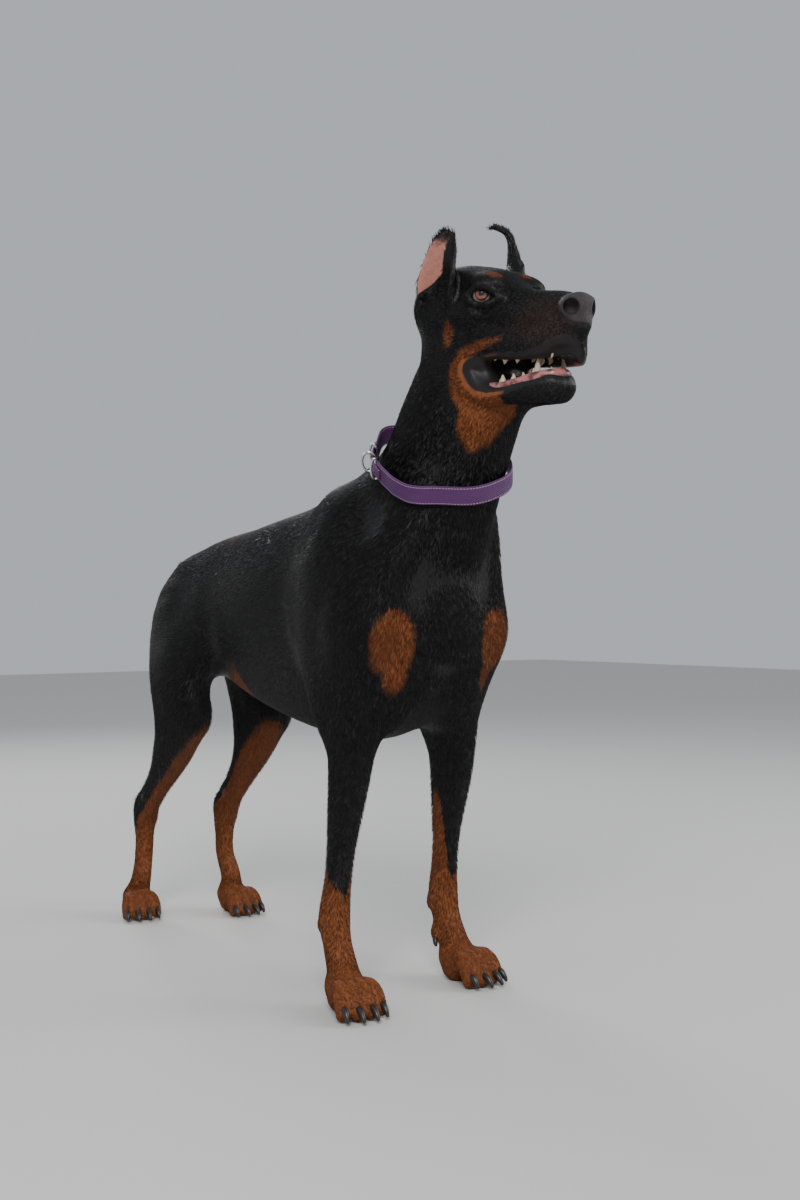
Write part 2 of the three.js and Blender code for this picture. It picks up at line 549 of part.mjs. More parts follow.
// An ear: a cupped sheet, open to the outside and front, upright on the right and bent in at its tip on
// the left. Rows: x, y, z of its middle line, radius of the cup, half its width, half its thickness.
const EAR_ACROSS = [0.495, 0.832, 0.25];
const EARS = {
  right: { side: -1, rows: [[51, 36, 6, 24, 37, 6], [53, 33, 37, 26, 36, 4.4], [55, 29, 60, 26, 28, 3.8],
    [54, 20, 81, 24, 19, 3.6], [51, 14, 93, 22, 9, 3.4]] },
  left: { side: 1, rows: [[46, 36, 8, 26, 37, 6.4], [50, 28, 44, 32, 32, 5.6], [51, 28, 70, 32, 22, 5.2],
    [50, 29, 87, 30, 16, 4.6], [46, 31, 98, 28, 11, 4.4], [38, 37, 104, 24, 8, 4.2], [30, 43, 105, 24, 7, 4],
    [23, 48, 103, 22, 4, 3.6]] },
};

function ear({ side: s, rows }) {
  const steps = 6;
  const path = smooth(mirrored(rows, s), 2);
  const rings = path.map((row, i) => {
    const c = row.slice(0, 3);
    const [radius, half, thick] = row.slice(3);
    const up = unit(sub(path[Math.min(i + 1, path.length - 1)].slice(0, 3), path[Math.max(i - 1, 0)].slice(0, 3)));
    const side = unit([s * EAR_ACROSS[0], EAR_ACROSS[1], EAR_ACROSS[2]]);
    const across = unit(add(side, up, -dot(side, up)));
    const open = cross(across, up).map((v) => s * v);
    const point = (j, r) => {
      const a = (j / steps - 0.5) * 2 * half / radius;
      return onHead(add(add(c, across, r * Math.sin(a)), open, radius - r * Math.cos(a)));
    };
    const back = Array.from({ length: steps + 1 }, (_, j) => point(j, radius + thick));
    const cup = Array.from({ length: steps + 1 }, (_, j) => point(steps - j, radius - thick));
    return [...back, ...cup];
  });
  const centre = (ring) => ring.reduce((a, b) => add(a, b)).map((c) => c / ring.length);
  return skinOver(rings, centre(rings[0]), centre(rings.at(-1)));
}

// Claws: a bent cone at the end of each toe
function claw(rows, across) {
  return tube(rows, 6, 0, 1, across);
}
function toeClaw(leg, g, toe) {
  const { point, across } = pawFrame(leg.paw, leg.turn, leg.side);
  const [b, long, spread] = toe;
  const w = (b + spread) * 1.04 * g;
  return claw([[...point(50 * g * long, w, 17 * g), 3.6, 4.6], [...point(58 * g * long, w * 1.02, 15 * g), 3.6, 4.4],
    [...point(65 * g * long, w * 1.04, 10 * g), 2.6, 3.2], [...point(69 * g * long, w * 1.05, 4.5), 1.2, 1.4]], across);
}
function dewClaw(leg) {
  const [x, y, z] = dewRows(leg)[2];
  return claw([[x, y, z, 2.6, 3], [x - leg.side * 3, y - 4, z - 7, 2.2, 2.6], [x - leg.side * 3, y - 6, z - 14, 0.9, 1]],
    [1, 0, 0]);
}

// Docked tail: a short stub at the end of the back
const TAIL = [[0, 282, 566, 21, 19], [0, 308, 576, 17, 15], [0, 332, 592, 14, 13], [0, 348, 606, 10, 9.5]];

// Collar: a strap round the lower neck, lower on the right, open at the nape
const neckAxis = unit(COLLAR.up);
const strapSide = unit(add([1, 0, 0], neckAxis, -neckAxis[0]));
const strapBack = cross(neckAxis, strapSide);
const bearing = (deg) => add(strapSide.map((c) => c * Math.sin(radians(deg))), strapBack, Math.cos(radians(deg)));
const strapReach = (deg, lift) => {
  const c = add(COLLAR.at, neckAxis, lift);
  return reach(neckField, c, bearing(deg), 140, 0);
};
// The strap lies on the neck at its fullest, so that both its edges stay clear
const strapRadius = (deg) => Math.max(...[-0.5, -0.25, 0, 0.25, 0.5].map((t) => strapReach(deg, t * COLLAR.width)));

function band(fromDeg, toDeg, width, inner, thick, steps) {
  const rings = Array.from({ length: steps + 1 }, (_, i) => {
    const deg = fromDeg + (toDeg - fromDeg) * i / steps;
    const r = strapRadius(deg) + inner;
    const corner = (t, lift) => add(add(COLLAR.at, neckAxis, lift), bearing(deg), r + t);
    return [corner(0, -width / 2), corner(thick, -width / 2), corner(thick, width / 2), corner(0, width / 2)];
  });
  const centre = (ring) => ring.reduce((a, b) => add(a, b)).map((c) => c / 4);
  return skinOver(rings, centre(rings[0]), centre(rings.at(-1)));
}

const WIRE_SIDES = 5;

// A ring of round wire: centre, its two directions, half sizes, wire radius
function wireRing(c, u, v, a, b, wire, corners = 14) {
  const w = cross(u, v);
  const rings = Array.from({ length: corners }, (_, i) => {
    const t = 2 * Math.PI * i / corners;
    const at = add(add(c, u, a * Math.cos(t)), v, b * Math.sin(t));
    const away = unit(add(u.map((k) => k * Math.cos(t) / a), v, Math.sin(t) / b));
    return Array.from({ length: WIRE_SIDES }, (_, j) => {
      const q = 2 * Math.PI * j / WIRE_SIDES;
      return add(add(at, away, wire * Math.cos(q)), w, wire * Math.sin(q));
    });
  });
  const faces = [];
  for (let i = 0; i < corners; i++) {
    for (let j = 0; j < WIRE_SIDES; j++) {
      const [p, q] = [i * WIRE_SIDES, ((i + 1) % corners) * WIRE_SIDES];
      const k = (j + 1) % WIRE_SIDES;
      faces.push([p + j, p + k, q + k], [p + j, q + k, q + j]);
    }
  }
  const solid = toSolid(rings.flat(), faces);
  return solid.volume() < 0 ? toSolid(rings.flat(), faces.map(([x, y, z]) => [x, z, y])) : solid;
}
const STRAP = { from: -36, to: 290, steps: 40, lift: 3.2 };   // bearings in degrees, 0 at the nape, 90 on the left
const RING_AT = [-38.5, -67.5];                    // the rings that hold the strap's two ends
const LOOP = { from: -26, to: -80, width: 16, thick: 2.4, lift: 7 };
const LEAD_RING_AT = -53;
const WIRE = 1.8;

// A wire ring stood across the strap, its inner bar just off the neck
function strapRing(deg, halfWidth, halfHeight) {
  const r = strapRadius(deg) + 0.7 + WIRE + halfHeight;
  return wireRing(add(COLLAR.at, bearing(deg), r), neckAxis, bearing(deg), halfWidth, halfHeight, WIRE);
}

// Assembly
const model = new THREE.Group();

function place(name, solid, finish) {
  const mesh = solid.getMesh();
  const geometry = new THREE.BufferGeometry();
  geometry.setAttribute('position', new THREE.BufferAttribute(new Float32Array(mesh.vertProperties), 3));
  geometry.setIndex(new THREE.BufferAttribute(new Uint32Array(mesh.triVerts), 1));
  const piece = new THREE.Mesh(geometry, new THREE.MeshStandardMaterial(COLOURS[finish]));
  piece.name = name;
  model.add(piece);
}

const torsoWide = torso(GAP);
const headSolid = head();
const headWide = head(GAP);
const jawSolid = largest(lowerJaw().subtract(headWide));
const jawWide = lowerJaw(2 * GAP);
place('torso', torso(), 'black');
place('head', headSolid, 'black');
place('lower_jaw', jawSolid, 'black');
const tongue = (grow) => tube(TONGUE, 10, grow, 2, [1, 0, 0], onHead);
place('tongue', largest(tongue(0).subtract(jawWide).subtract(headWide)), 'tongue');
const mouth = unite([headWide, jawWide, mouthHollow, tongue(GAP)]);
place('neck', largest(neck().subtract(torsoWide).subtract(mouth)), 'black');
place('tail', largest(tube(TAIL, 10, 0, 2).subtract(torsoWide)), 'black');
for (const [name, shape] of Object.entries(EARS)) {
  place(`ear_${name}`, largest(ear(shape).subtract(headWide)), 'skin');
  place(`eye_${name}`, globe(shape.side, EYE.radius, 0), 'eye');
}

for (const [name, leg] of Object.entries(STANCE)) {
  const [kind, where] = name.split('_');
  if (kind === 'fore') {
    place(`foreleg_${where}`, largest(foreleg(leg).subtract(torsoWide)), 'tan');
    place(`forepaw_${where}`, forepaw(leg), 'tan');
    const wide = forepaw(leg, GAP);
    TOES.forEach((toe, i) => {
      place(`claw_fore_${where}_${i + 1}`, largest(toeClaw(leg, FORE_PAW, toe).subtract(wide)), 'claw');
    });
    place(`dewclaw_${where}`, largest(dewClaw(leg).subtract(wide)), 'claw');
  } else {
    const thighWide = thigh(leg, GAP);
    place(`thigh_${where}`, largest(thigh(leg).subtract(torsoWide)), 'black');
    place(`shin_${where}`, largest(shin(leg).subtract(thighWide)), 'tan');
    place(`hindpaw_${where}`, largest(hindpaw(leg).subtract(shin(leg, GAP))), 'tan');
    const wide = hindpaw(leg, GAP);
    TOES.forEach((toe, i) => {
      place(`claw_hind_${where}_${i + 1}`, largest(toeClaw(leg, HIND_PAW, toe).subtract(wide)), 'claw');
    });
  }
}

place('collar_strap', band(STRAP.from, STRAP.to, COLLAR.width, STRAP.lift, COLLAR.thick, STRAP.steps), 'webbing');
place('collar_loop', band(LOOP.from, LOOP.to, LOOP.width, LOOP.lift, LOOP.thick, 12), 'webbing');
RING_AT.forEach((deg, i) => place(`collar_ring_${i + 1}`, strapRing(deg, 15, 5.4), 'metal'));
place('collar_lead_ring', strapRing(LEAD_RING_AT, 14, 10), 'metal');

// The origin is the middle of the whole model's box, on the floor
const box = new THREE.Box3().setFromObject(model);
const middle = box.getCenter(new THREE.Vector3());
model.position.set(-middle.x, -middle.y, -box.min.z);

export default model;
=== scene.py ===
import math
import bpy
import numpy as np
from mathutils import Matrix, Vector


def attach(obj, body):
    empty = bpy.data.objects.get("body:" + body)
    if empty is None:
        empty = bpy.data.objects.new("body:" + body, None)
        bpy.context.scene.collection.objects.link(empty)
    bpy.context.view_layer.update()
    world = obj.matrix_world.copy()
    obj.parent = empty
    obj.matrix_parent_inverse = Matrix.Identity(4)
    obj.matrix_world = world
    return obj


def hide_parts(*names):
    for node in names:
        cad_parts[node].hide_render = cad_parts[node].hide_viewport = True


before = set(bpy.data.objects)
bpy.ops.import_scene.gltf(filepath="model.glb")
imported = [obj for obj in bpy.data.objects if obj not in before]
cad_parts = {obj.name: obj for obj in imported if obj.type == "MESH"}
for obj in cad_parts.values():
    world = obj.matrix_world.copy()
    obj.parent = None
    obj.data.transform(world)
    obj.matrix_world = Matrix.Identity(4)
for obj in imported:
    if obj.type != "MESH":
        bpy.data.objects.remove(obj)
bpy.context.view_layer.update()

# Camera, floor and studio light. The camera stands low at the dog's right front, 2.2 m away,
# and looks level; the floor is pale and plain, and three soft lamps light the black coat.
MM = 0.001
ORIGIN = np.array([12.9553, 113.4441, 0.0])      # from the drawing's own origin to the part's, mm
CAMERA_AT = (-1.1716 + ORIGIN[0] * MM, -1.8032 + ORIGIN[1] * MM, 0.520)
LOOK = (-37.5, 0.41)                              # azimuth and pitch, degrees
LENS = 42.0
SENSOR = 36.0

camera = bpy.data.objects.new("camera", bpy.data.cameras.new("camera"))
camera.data.sensor_fit = "VERTICAL"
camera.data.sensor_height = SENSOR
camera.data.lens = LENS
camera.data.clip_end = 50
turn_left, tilt_up = (math.radians(v) for v in LOOK)
ahead = Vector((-math.sin(turn_left) * math.cos(tilt_up), math.cos(turn_left) * math.cos(tilt_up),
                math.sin(tilt_up)))
camera.location = CAMERA_AT
camera.rotation_euler = ahead.to_track_quat("-Z", "Y").to_euler()
bpy.context.scene.collection.objects.link(camera)
bpy.context.scene.camera = camera


class Value:
    """One output of a shader node, with Python's operators as Math nodes."""

    def __init__(self, sheet, socket):
        self.sheet, self.socket = sheet, socket

    def _math(self, operation, *inputs, clamp=False):
        settings = {"operation": operation, "use_clamp": clamp}
        return self.sheet.node("ShaderNodeMath", settings, dict(enumerate(inputs)))

    def __add__(self, other):
        return self._math("ADD", self, other)

    def __sub__(self, other):
        return self._math("SUBTRACT", self, other)

    def __mul__(self, other):
        return self._math("MULTIPLY", self, other)

    def __truediv__(self, other):
        return self._math("DIVIDE", self, other)

    def __pow__(self, other):
        return self._math("POWER", self, other)

    __radd__ = __add__
    __rmul__ = __mul__

    def __rsub__(self, other):
        return self._math("SUBTRACT", other, self)

    def __rtruediv__(self, other):
        return self._math("DIVIDE", other, self)

    def clamp(self):
        return self._math("ADD", self, 0.0, clamp=True)

    def sin(self):
        return self._math("SINE", self)

    def abs(self):
        return self._math("ABSOLUTE", self)

    def above(self, low, high):
        """0 below low, 1 above high, a smooth step between them."""
        settings = {"interpolation_type": "SMOOTHSTEP"}
        inputs = {"Value": self, "From Min": low, "From Max": high}
        return self.sheet.node("ShaderNodeMapRange", settings, inputs)


class Sheet:
    """A material's node sheet. One method adds any node."""

    def __init__(self, name):
        self.material = bpy.data.materials.new(name)
        self.material.use_nodes = True
        self.tree = self.material.node_tree
        self.shader = self.tree.nodes["Principled BSDF"]

    def feed(self, socket, value):
        if isinstance(value, Value):
            self.tree.links.new(value.socket, socket)
        else:
            socket.default_value = value

    def node(self, kind, settings=None, inputs=None, output=0):
        made = self.tree.nodes.new(kind)
        for name, value in (settings or {}).items():
            if name == "stops":
                stops = made.color_ramp.elements
                while len(stops) < len(value):
                    stops.new(1.0)
                for stop, (at, colour) in zip(stops, value):
                    stop.position, stop.color = at, colour
            else:
                setattr(made, name, value)
        for name, value in (inputs or {}).items():
            self.feed(made.inputs[name], value)
        return Value(self, made.outputs[output])

    def place(self):
        return self.node("ShaderNodeTexCoord", output="Object")

    def attribute(self, name):
        return self.node("ShaderNodeAttribute", {"attribute_name": name}, output="Fac")

    def stretched(self, place, scale):
        return self.node("ShaderNodeMapping", {}, {"Vector": place, "Scale": scale})

    def noise(self, place, scale, detail=3.0, rough=0.5):
        return self.node("ShaderNodeTexNoise", {}, {"Vector": place, "Scale": scale, "Detail": detail,
                                                    "Roughness": rough})

    def cells(self, place, scale):
        return self.node("ShaderNodeTexVoronoi", {}, {"Vector": place, "Scale": scale}, "Distance")

    def blend(self, fac, one, two):
        inputs = {"Factor": fac, 6: one, 7: two}
        return self.node("ShaderNodeMix", {"data_type": "RGBA"}, inputs, 2)

    def bump(self, height, distance, strength=1.0):
        inputs = {"Height": height, "Distance": distance, "Strength": strength}
        return self.node("ShaderNodeBump", {}, inputs)

    def set(self, **sockets):
        for name, value in sockets.items():
            self.feed(self.shader.inputs[name.replace("_", " ")], value)
        return self.material


def rgb(r, g, b):
    return (r, g, b, 1.0)


def link(name, mesh):
    made = bpy.data.objects.new(name, mesh)
    bpy.context.scene.collection.objects.link(made)
    return made


def build(name, points, faces, material):
    """A smooth piece from points in millimetres on the drawing, and faces of three or four corners."""
    mesh = bpy.data.meshes.new(name)
    faces = [np.asarray(f) for f in (faces if isinstance(faces, list) else [faces])]
    points = (np.asarray(points) + ORIGIN) * MM
    sizes = np.concatenate([np.full(len(f), f.shape[1]) for f in faces])
    mesh.vertices.add(len(points))
    mesh.vertices.foreach_set("co", points.astype(np.float32).ravel())
    mesh.loops.add(int(sizes.sum()))
    mesh.loops.foreach_set("vertex_index", np.concatenate([f.ravel() for f in faces]).astype(np.int32))
    mesh.polygons.add(len(sizes))
    mesh.polygons.foreach_set("loop_start", (np.cumsum(sizes) - sizes).astype(np.int32))
    mesh.polygons.foreach_set("use_smooth", np.full(len(sizes), True))
    mesh.update(calc_edges=True)
    mesh.validate()
    mesh.materials.append(material)
    return link(name, mesh)


floor_sheet = Sheet("studio_floor")
floor_sheet.set(Base_Color=rgb(0.62, 0.61, 0.59), Roughness=0.75)
FLOOR_HALF = 9000.0
floor_corners = [[-FLOOR_HALF, -FLOOR_HALF, 0], [FLOOR_HALF, -FLOOR_HALF, 0], [FLOOR_HALF, FLOOR_HALF, 0],
                 [-FLOOR_HALF, FLOOR_HALF, 0]]
studio_floor = build("studio_floor", floor_corners, np.array([[0, 1, 2, 3]]), floor_sheet.material)

world = bpy.data.worlds.new("studio")
world.use_nodes = True
world.node_tree.nodes["Background"].inputs["Color"].default_value = rgb(0.80, 0.84, 0.90)
world.node_tree.nodes["Background"].inputs["Strength"].default_value = 0.6
bpy.context.scene.world = world
LAMPS = (("key", (-2.2, -2.6, 2.9), 120, 1.6), ("fill", (2.8, -1.6, 1.8), 50, 2.0),
         ("rim", (0.6, 3.0, 2.4), 45, 1.4))     # name, place, watts, size
for lamp_name, lamp_at, watts, lamp_size in LAMPS:
    lamp = bpy.data.objects.new(lamp_name, bpy.data.lights.new(lamp_name, "AREA"))
    lamp.data.energy, lamp.data.size = watts, lamp_size
    lamp.location = lamp_at
    lamp.rotation_euler = (Vector((0, 0, 0.5)) - Vector(lamp_at)).to_track_quat("-Z", "Y").to_euler()
    bpy.context.scene.collection.objects.link(lamp)


# Skin. One seamless hide over trunk, neck, head, legs and tail, worked out from the muscles under it:
# each muscle is a swept or round form, the forms are blended smoothly, and the hide is the level
# where the blend is zero. It replaces every node of flesh. All sizes are in millimetres.
def vec(*v):
    return np.array(v, float)


def unit(v):
    v = np.asarray(v, float)
    return v / np.linalg.norm(v, axis=-1, keepdims=True)


def smooth_min(a, b, k):
    """The smaller of a and b, with a rounded change-over of width k: min - k h^2 / 4."""
    h = np.maximum(k - np.abs(a - b), 0.0) / k
    return np.minimum(a, b) - h * h * k * 0.25


def smooth_rows(rows, n):
    """Catmull-Rom curve through rows of any length, n steps to a span."""
    r = np.array(rows, float)
    e = np.vstack([2 * r[0] - r[1], r, 2 * r[-1] - r[-2]])
    out = []
    for p0, p1, p2, p3 in zip(e[:-3], e[1:-2], e[2:-1], e[3:]):
        t = (np.arange(n) / n)[:, None]
        out.append(0.5 * (2 * p1 + (p2 - p0) * t + (2 * p0 - 5 * p1 + 4 * p2 - p3) * t ** 2
                          + (3 * p1 - p0 - 3 * p2 + p3) * t ** 3))
    return np.vstack(out + [r[-1:]])


def roundness(k0, k1):
    """Distance to an ellipse from k0, the scaled offset, and k1, scaled twice: k0 (k0 - 1) / k1."""
    return k0 * (k0 - 1) / (k1 + 1e-6)


class Muscle:
    """A swept form along rows of x, y, z, radius to the side, radius in depth. Below zero inside."""

    def __init__(self, rows, k, n=3, side=(1, 0, 0), cut=False):
        self.path, self.side, self.k, self.cut = smooth_rows(rows, n), unit(side), k, cut
        widest = self.path[:, 3:5].max(1)[:, None]
        self.low = (self.path[:, :3] - widest).min(0)
        self.high = (self.path[:, :3] + widest).max(0)

    def inside(self, x, y, z):
        best = np.float32(1e9)
        sx, sy, sz = self.side
        for a, b in zip(self.path[:-1], self.path[1:]):
            ex, ey, ez = b[:3] - a[:3]
            qx, qy, qz = x - a[0], y - a[1], z - a[2]
            t = np.clip((qx * ex + qy * ey + qz * ez) / max(ex * ex + ey * ey + ez * ez, 1e-9), 0, 1)
            qx, qy, qz = qx - t * ex, qy - t * ey, qz - t * ez
            ru, rw = a[3] + t * (b[3] - a[3]), a[4] + t * (b[4] - a[4])
            u2 = (qx * sx + qy * sy + qz * sz) ** 2
            w2 = np.maximum(qx * qx + qy * qy + qz * qz - u2, 0)
            k0 = np.sqrt(u2 / ru ** 2 + w2 / rw ** 2)
            best = np.minimum(best, roundness(k0, np.sqrt(u2 / ru ** 4 + w2 / rw ** 4)))
        return best


class Ball:
    """An ellipsoid with its half sizes, turned about z by turn degrees."""

    def __init__(self, at, half, k, turn=0.0, cut=False):
        self.at, self.half, self.k, self.cut = vec(*at), vec(*half), k, cut
        self.c, self.s = math.cos(math.radians(turn)), math.sin(math.radians(turn))
        reach = self.half.max() if turn else self.half
        self.low, self.high = self.at - reach, self.at + reach

    def inside(self, x, y, z):
        px, py, c = x - self.at[0], y - self.at[1], (z - self.at[2]) / self.half[2]
        a = (px * self.c + py * self.s) / self.half[0]
        b = (py * self.c - px * self.s) / self.half[1]
        k0 = np.sqrt(a * a + b * b + c * c)
        k1 = np.sqrt((a / self.half[0]) ** 2 + (b / self.half[1]) ** 2 + (c / self.half[2]) ** 2)
        return roundness(k0, k1)


class Paired:
    """The same form on both sides of the middle plane."""

    def __init__(self, form):
        self.form, self.k, self.cut = form, form.k, form.cut
        half = max(abs(form.low[0]), abs(form.high[0]))
        self.low, self.high = vec(-half, *form.low[1:]), vec(half, *form.high[1:])

    def inside(self, x, y, z):
        return self.form.inside(np.abs(x), y, z)


class Trunk:
    """Sections along y. Rows of y, top, bottom, half width, how much the underside narrows."""

    def __init__(self, rows, k):
        self.rows, self.k, self.cut = smooth_rows(rows, 6), k, False
        r = self.rows
        self.low = vec(-r[:, 3].max(), r[0, 0], r[:, 2].min())
        self.high = vec(r[:, 3].max(), r[-1, 0], r[:, 1].max())

    def inside(self, x, y, z):
        r = self.rows
        yc = np.clip(y, r[0, 0], r[-1, 0])
        top, bottom, half, keel = (np.interp(yc, r[:, 0], r[:, c]) for c in (1, 2, 3, 4))
        h = (top - bottom) / 2
        v = z - (top + bottom) / 2
        w = half * (1 + keel * np.clip(v / h, -1, 1) * 0.5 - keel * 0.12)
        w2 = v * v + 4 * (y - yc) ** 2
        return roundness(np.sqrt(x * x / w ** 2 + w2 / h ** 2), np.sqrt(x * x / w ** 4 + w2 / h ** 4))


class Ear:
    """A cupped sheet along rows of x, y, z of its middle, cup radius, half width, half thickness."""
    ACROSS = unit((0.495, 0.832, 0.25))
    LINING_TOP, LINING_FADE = 62, 0.12            # the bare lining thins out towards this height

    def __init__(self, s, rows, k):
        self.path, self.k, self.cut = smooth_rows(mirrored(rows, s), 3), k, False
        self.across, self.side = self.ACROSS * (s, 1, 1), s
        self.low, self.high = self.path[:, :3].min(0) - 46, self.path[:, :3].max(0) + 46

    def bowl(self, points):
        """How far points lie inside the cup, up from its sheet, and how far to its rear."""
        nearest = np.linalg.norm(points[:, None] - self.path[None, 1:-1, :3], axis=2).argmin(1) + 1
        e = unit(self.path[nearest + 1, :3] - self.path[nearest - 1, :3])
        across = unit(self.across - e * (e @ self.across)[:, None])
        opening = self.side * np.cross(across, e)
        off, cup = points - self.path[nearest, :3], self.path[nearest, 3]
        u = (off * across).sum(1)
        rear = u - np.clip(40 - points[:, 2], 0, 30) * 0.9
        depth = cup - np.hypot(u, cup - (off * opening).sum(1))
        return depth, np.minimum(rear, (self.LINING_TOP - points[:, 2]) * self.LINING_FADE)

    def inside(self, x, y, z):
        best = np.float32(1e9)
        for a, b in zip(self.path[:-1], self.path[1:]):
            e = b[:3] - a[:3]
            along = np.dot(e, e)
            across = unit(self.across - e * np.dot(self.across, e) / along)
            opening = self.side * np.cross(across, e) / math.sqrt(along)
            qx, qy, qz = x - a[0], y - a[1], z - a[2]
            t = (qx * e[0] + qy * e[1] + qz * e[2]) / along
            over = np.maximum(-t, t - 1).clip(0) * math.sqrt(along)
            t = np.clip(t, 0, 1)
            qx, qy, qz = qx - t * e[0], qy - t * e[1], qz - t * e[2]
            cup, half, thick = (a[c] + t * (b[c] - a[c]) for c in (3, 4, 5))
            u = qx * across[0] + qy * across[1] + qz * across[2]
            w = cup - (qx * opening[0] + qy * opening[1] + qz * opening[2])
            beside = np.maximum(np.abs(np.arctan2(u, w)) * cup - half, 0)
            best = np.minimum(best, np.sqrt((np.hypot(u, w) - cup) ** 2 + beside ** 2 + over ** 2) - thick)
        return best


class Placed:
    """Forms in a frame of their own, blended into one."""

    def __init__(self, forms, at, turn, k):
        self.forms, self.at, self.turn, self.k, self.cut = forms, vec(*at), turn, k, False
        solid = [f for f in forms if not f.cut]
        low, high = np.min([f.low for f in solid], 0), np.max([f.high for f in solid], 0)
        corners = np.array(np.meshgrid(*zip(low, high))).reshape(3, -1).T @ turn.T + self.at
        self.low, self.high = corners.min(0), corners.max(0)

    def local(self, x, y, z):
        px, py, pz = x - self.at[0], y - self.at[1], z - self.at[2]
        r = self.turn
        return tuple(px * r[0, i] + py * r[1, i] + pz * r[2, i] for i in range(3))

    def inside(self, x, y, z):
        return level(self.forms, *self.local(x, y, z))


def fold(d, form, e):
    """Adds a form's distance e to d, or cuts it out."""
    return -smooth_min(-d, e, form.k) if form.cut else smooth_min(d, e, form.k)


def level(forms, x, y, z):
    """The blend of all forms at points that broadcast together."""
    d = np.full(np.broadcast(x, y, z).shape, 60.0, np.float32)
    for form in forms:
        d = fold(d, form, form.inside(x, y, z))
    return d


def level_at(forms, points):
    """The blend at separate points; each form is only worked out near itself."""
    d = np.full(len(points), 60.0)
    for form in forms:
        margin = max(form.k, 12) + 14
        near = np.all((points > form.low - margin) & (points < form.high + margin), 1)
        if near.any():
            d[near] = fold(d[near], form, form.inside(*points[near].T))
    return d


TRUNK = [[-376, 555, 462, 34, 0.0], [-358, 592, 420, 54, 0.05], [-332, 626, 384, 74, 0.1],
         [-290, 658, 354, 90, 0.2], [-240, 680, 340, 98, 0.28], [-180, 683, 336, 104, 0.32],
         [-100, 672, 343, 108, 0.32], [-20, 661, 357, 106, 0.28], [60, 649, 377, 96, 0.2],
         [130, 642, 402, 85, 0.1], [190, 632, 428, 78, 0.1], [245, 614, 450, 74, 0.1],
         [288, 590, 476, 60, 0.1], [314, 560, 508, 34, 0.1]]


def mirrored(rows, s):
    return [[s * r[0], *r[1:]] for r in rows]


def shoulder(s):
    """Shoulder blade, upper arm, triceps, forechest and the neck's long muscle of side s."""
    return [
        Muscle(mirrored([[40, -196, 660, 20, 30], [70, -240, 612, 27, 50], [90, -285, 540, 30, 56],
                         [95, -320, 482, 29, 44]], s), 40, 6),
        Muscle(mirrored([[94, -322, 488, 27, 36], [98, -302, 440, 28, 44], [90, -284, 385, 27, 42],
                         [84, -278, 350, 24, 38]], s), 34),
        Muscle(mirrored([[84, -215, 560, 24, 48], [92, -226, 480, 30, 52], [92, -240, 410, 26, 40],
                         [88, -240, 368, 18, 22]], s), 34, 5),
        Muscle(mirrored([[30, -345, 545, 28, 26], [36, -358, 492, 36, 28], [44, -346, 432, 36, 28],
                         [56, -312, 386, 28, 28]], s), 40),
        Muscle([[14 + s * 36, -346, 678, 14, 24], [8 + s * 60, -362, 630, 22, 32],
                [2 + s * 80, -350, 570, 25, 34], [s * 93, -330, 508, 26, 34]], 46),
    ]


NECK = [
    Muscle([[0, -205, 560, 86, 104], [7, -275, 620, 76, 98], [15, -332, 690, 67, 79],
            [19, -360, 746, 61, 80], [22, -385, 800, 54, 72], [25, -400, 850, 48, 64],
            [27, -400, 900, 44, 55]], 36, 5),
    Muscle([[0, -150, 640, 16, 28], [6, -215, 680, 16, 30], [13, -275, 748, 16, 28],
            [20, -325, 830, 18, 26]], 44),
    Muscle([[0, -345, 560, 44, 36], [8, -398, 640, 40, 34], [18, -425, 710, 30, 34],
            [24, -455, 780, 30, 30]], 44),
]
TAIL = [Muscle([[0, 282, 566, 21, 19], [0, 308, 576, 17, 15], [0, 332, 592, 14, 13],
                [0, 344, 602, 9, 9]], 14)]


class Leg:
    """Where one leg's joints stand, and how far its paw turns out, in degrees."""

    def __init__(self, name, s, joints, paw, turn, size):
        self.name, self.s, self.joints, self.paw, self.turn, self.size = name, s, joints, paw, turn, size
        o = math.radians(turn) * s
        self.ahead, self.across = vec(math.sin(o), -math.cos(o), 0), vec(math.cos(o), math.sin(o), 0)

    def on_paw(self, a, b, z):
        g = self.size
        return (vec(*self.paw, 0) + self.ahead * a * g + self.across * b * g + vec(0, 0, z * g)).tolist()


LEGS = [
    Leg("fore_right", -1, [(-80, -276, 352), (-108, -274, 113)], (-121, -322), 9, 1.0),
    Leg("fore_left", 1, [(88, -280, 352), (101, -246, 113)], (98, -292), 5, 1.0),
    Leg("hind_right", -1, [(-56, 205, 545), (-84, 150, 352), (-54, 376, 172)], (-72, 364), 16, 0.92),
    Leg("hind_left", 1, [(56, 200, 545), (70, 156, 350), (72, 322, 172)], (75, 292), 2, 0.92),
]
TOES = ((-24, 0.86, -3), (-8.5, 1.0, -1), (8.5, 1.0, 1), (24, 0.86, 3))     # across, reach, spread


def paw_forms(leg):
    """Palm, heel pad and four toes."""
    g, at = leg.size, leg.on_paw
    forms = [
        Muscle([[*at(-14, 0, 30), 24 * g, 22 * g], [*at(4, 0, 27), 27 * g, 22 * g],
                [*at(20, 0, 24), 26 * g, 17 * g]], 12, 3, leg.across),
        Ball(at(-8, 0, 12), (21 * g, 20 * g, 14 * g), 8),
    ]
    for b, long, spread in TOES:
        w = b + spread
        forms.append(Muscle([[*at(6, b * 0.72, 33), 9.5 * g, 12 * g],
                             [*at(24 * long, b * 0.9, 36), 9.8 * g, 12 * g],
                             [*at(38 * long, w * 0.95, 27), 10 * g, 11.5 * g],
                             [*at(48 * long, w * 1.0, 11), 9.4 * g, 10.5 * g]], 3.5, 3, leg.across))
    return forms


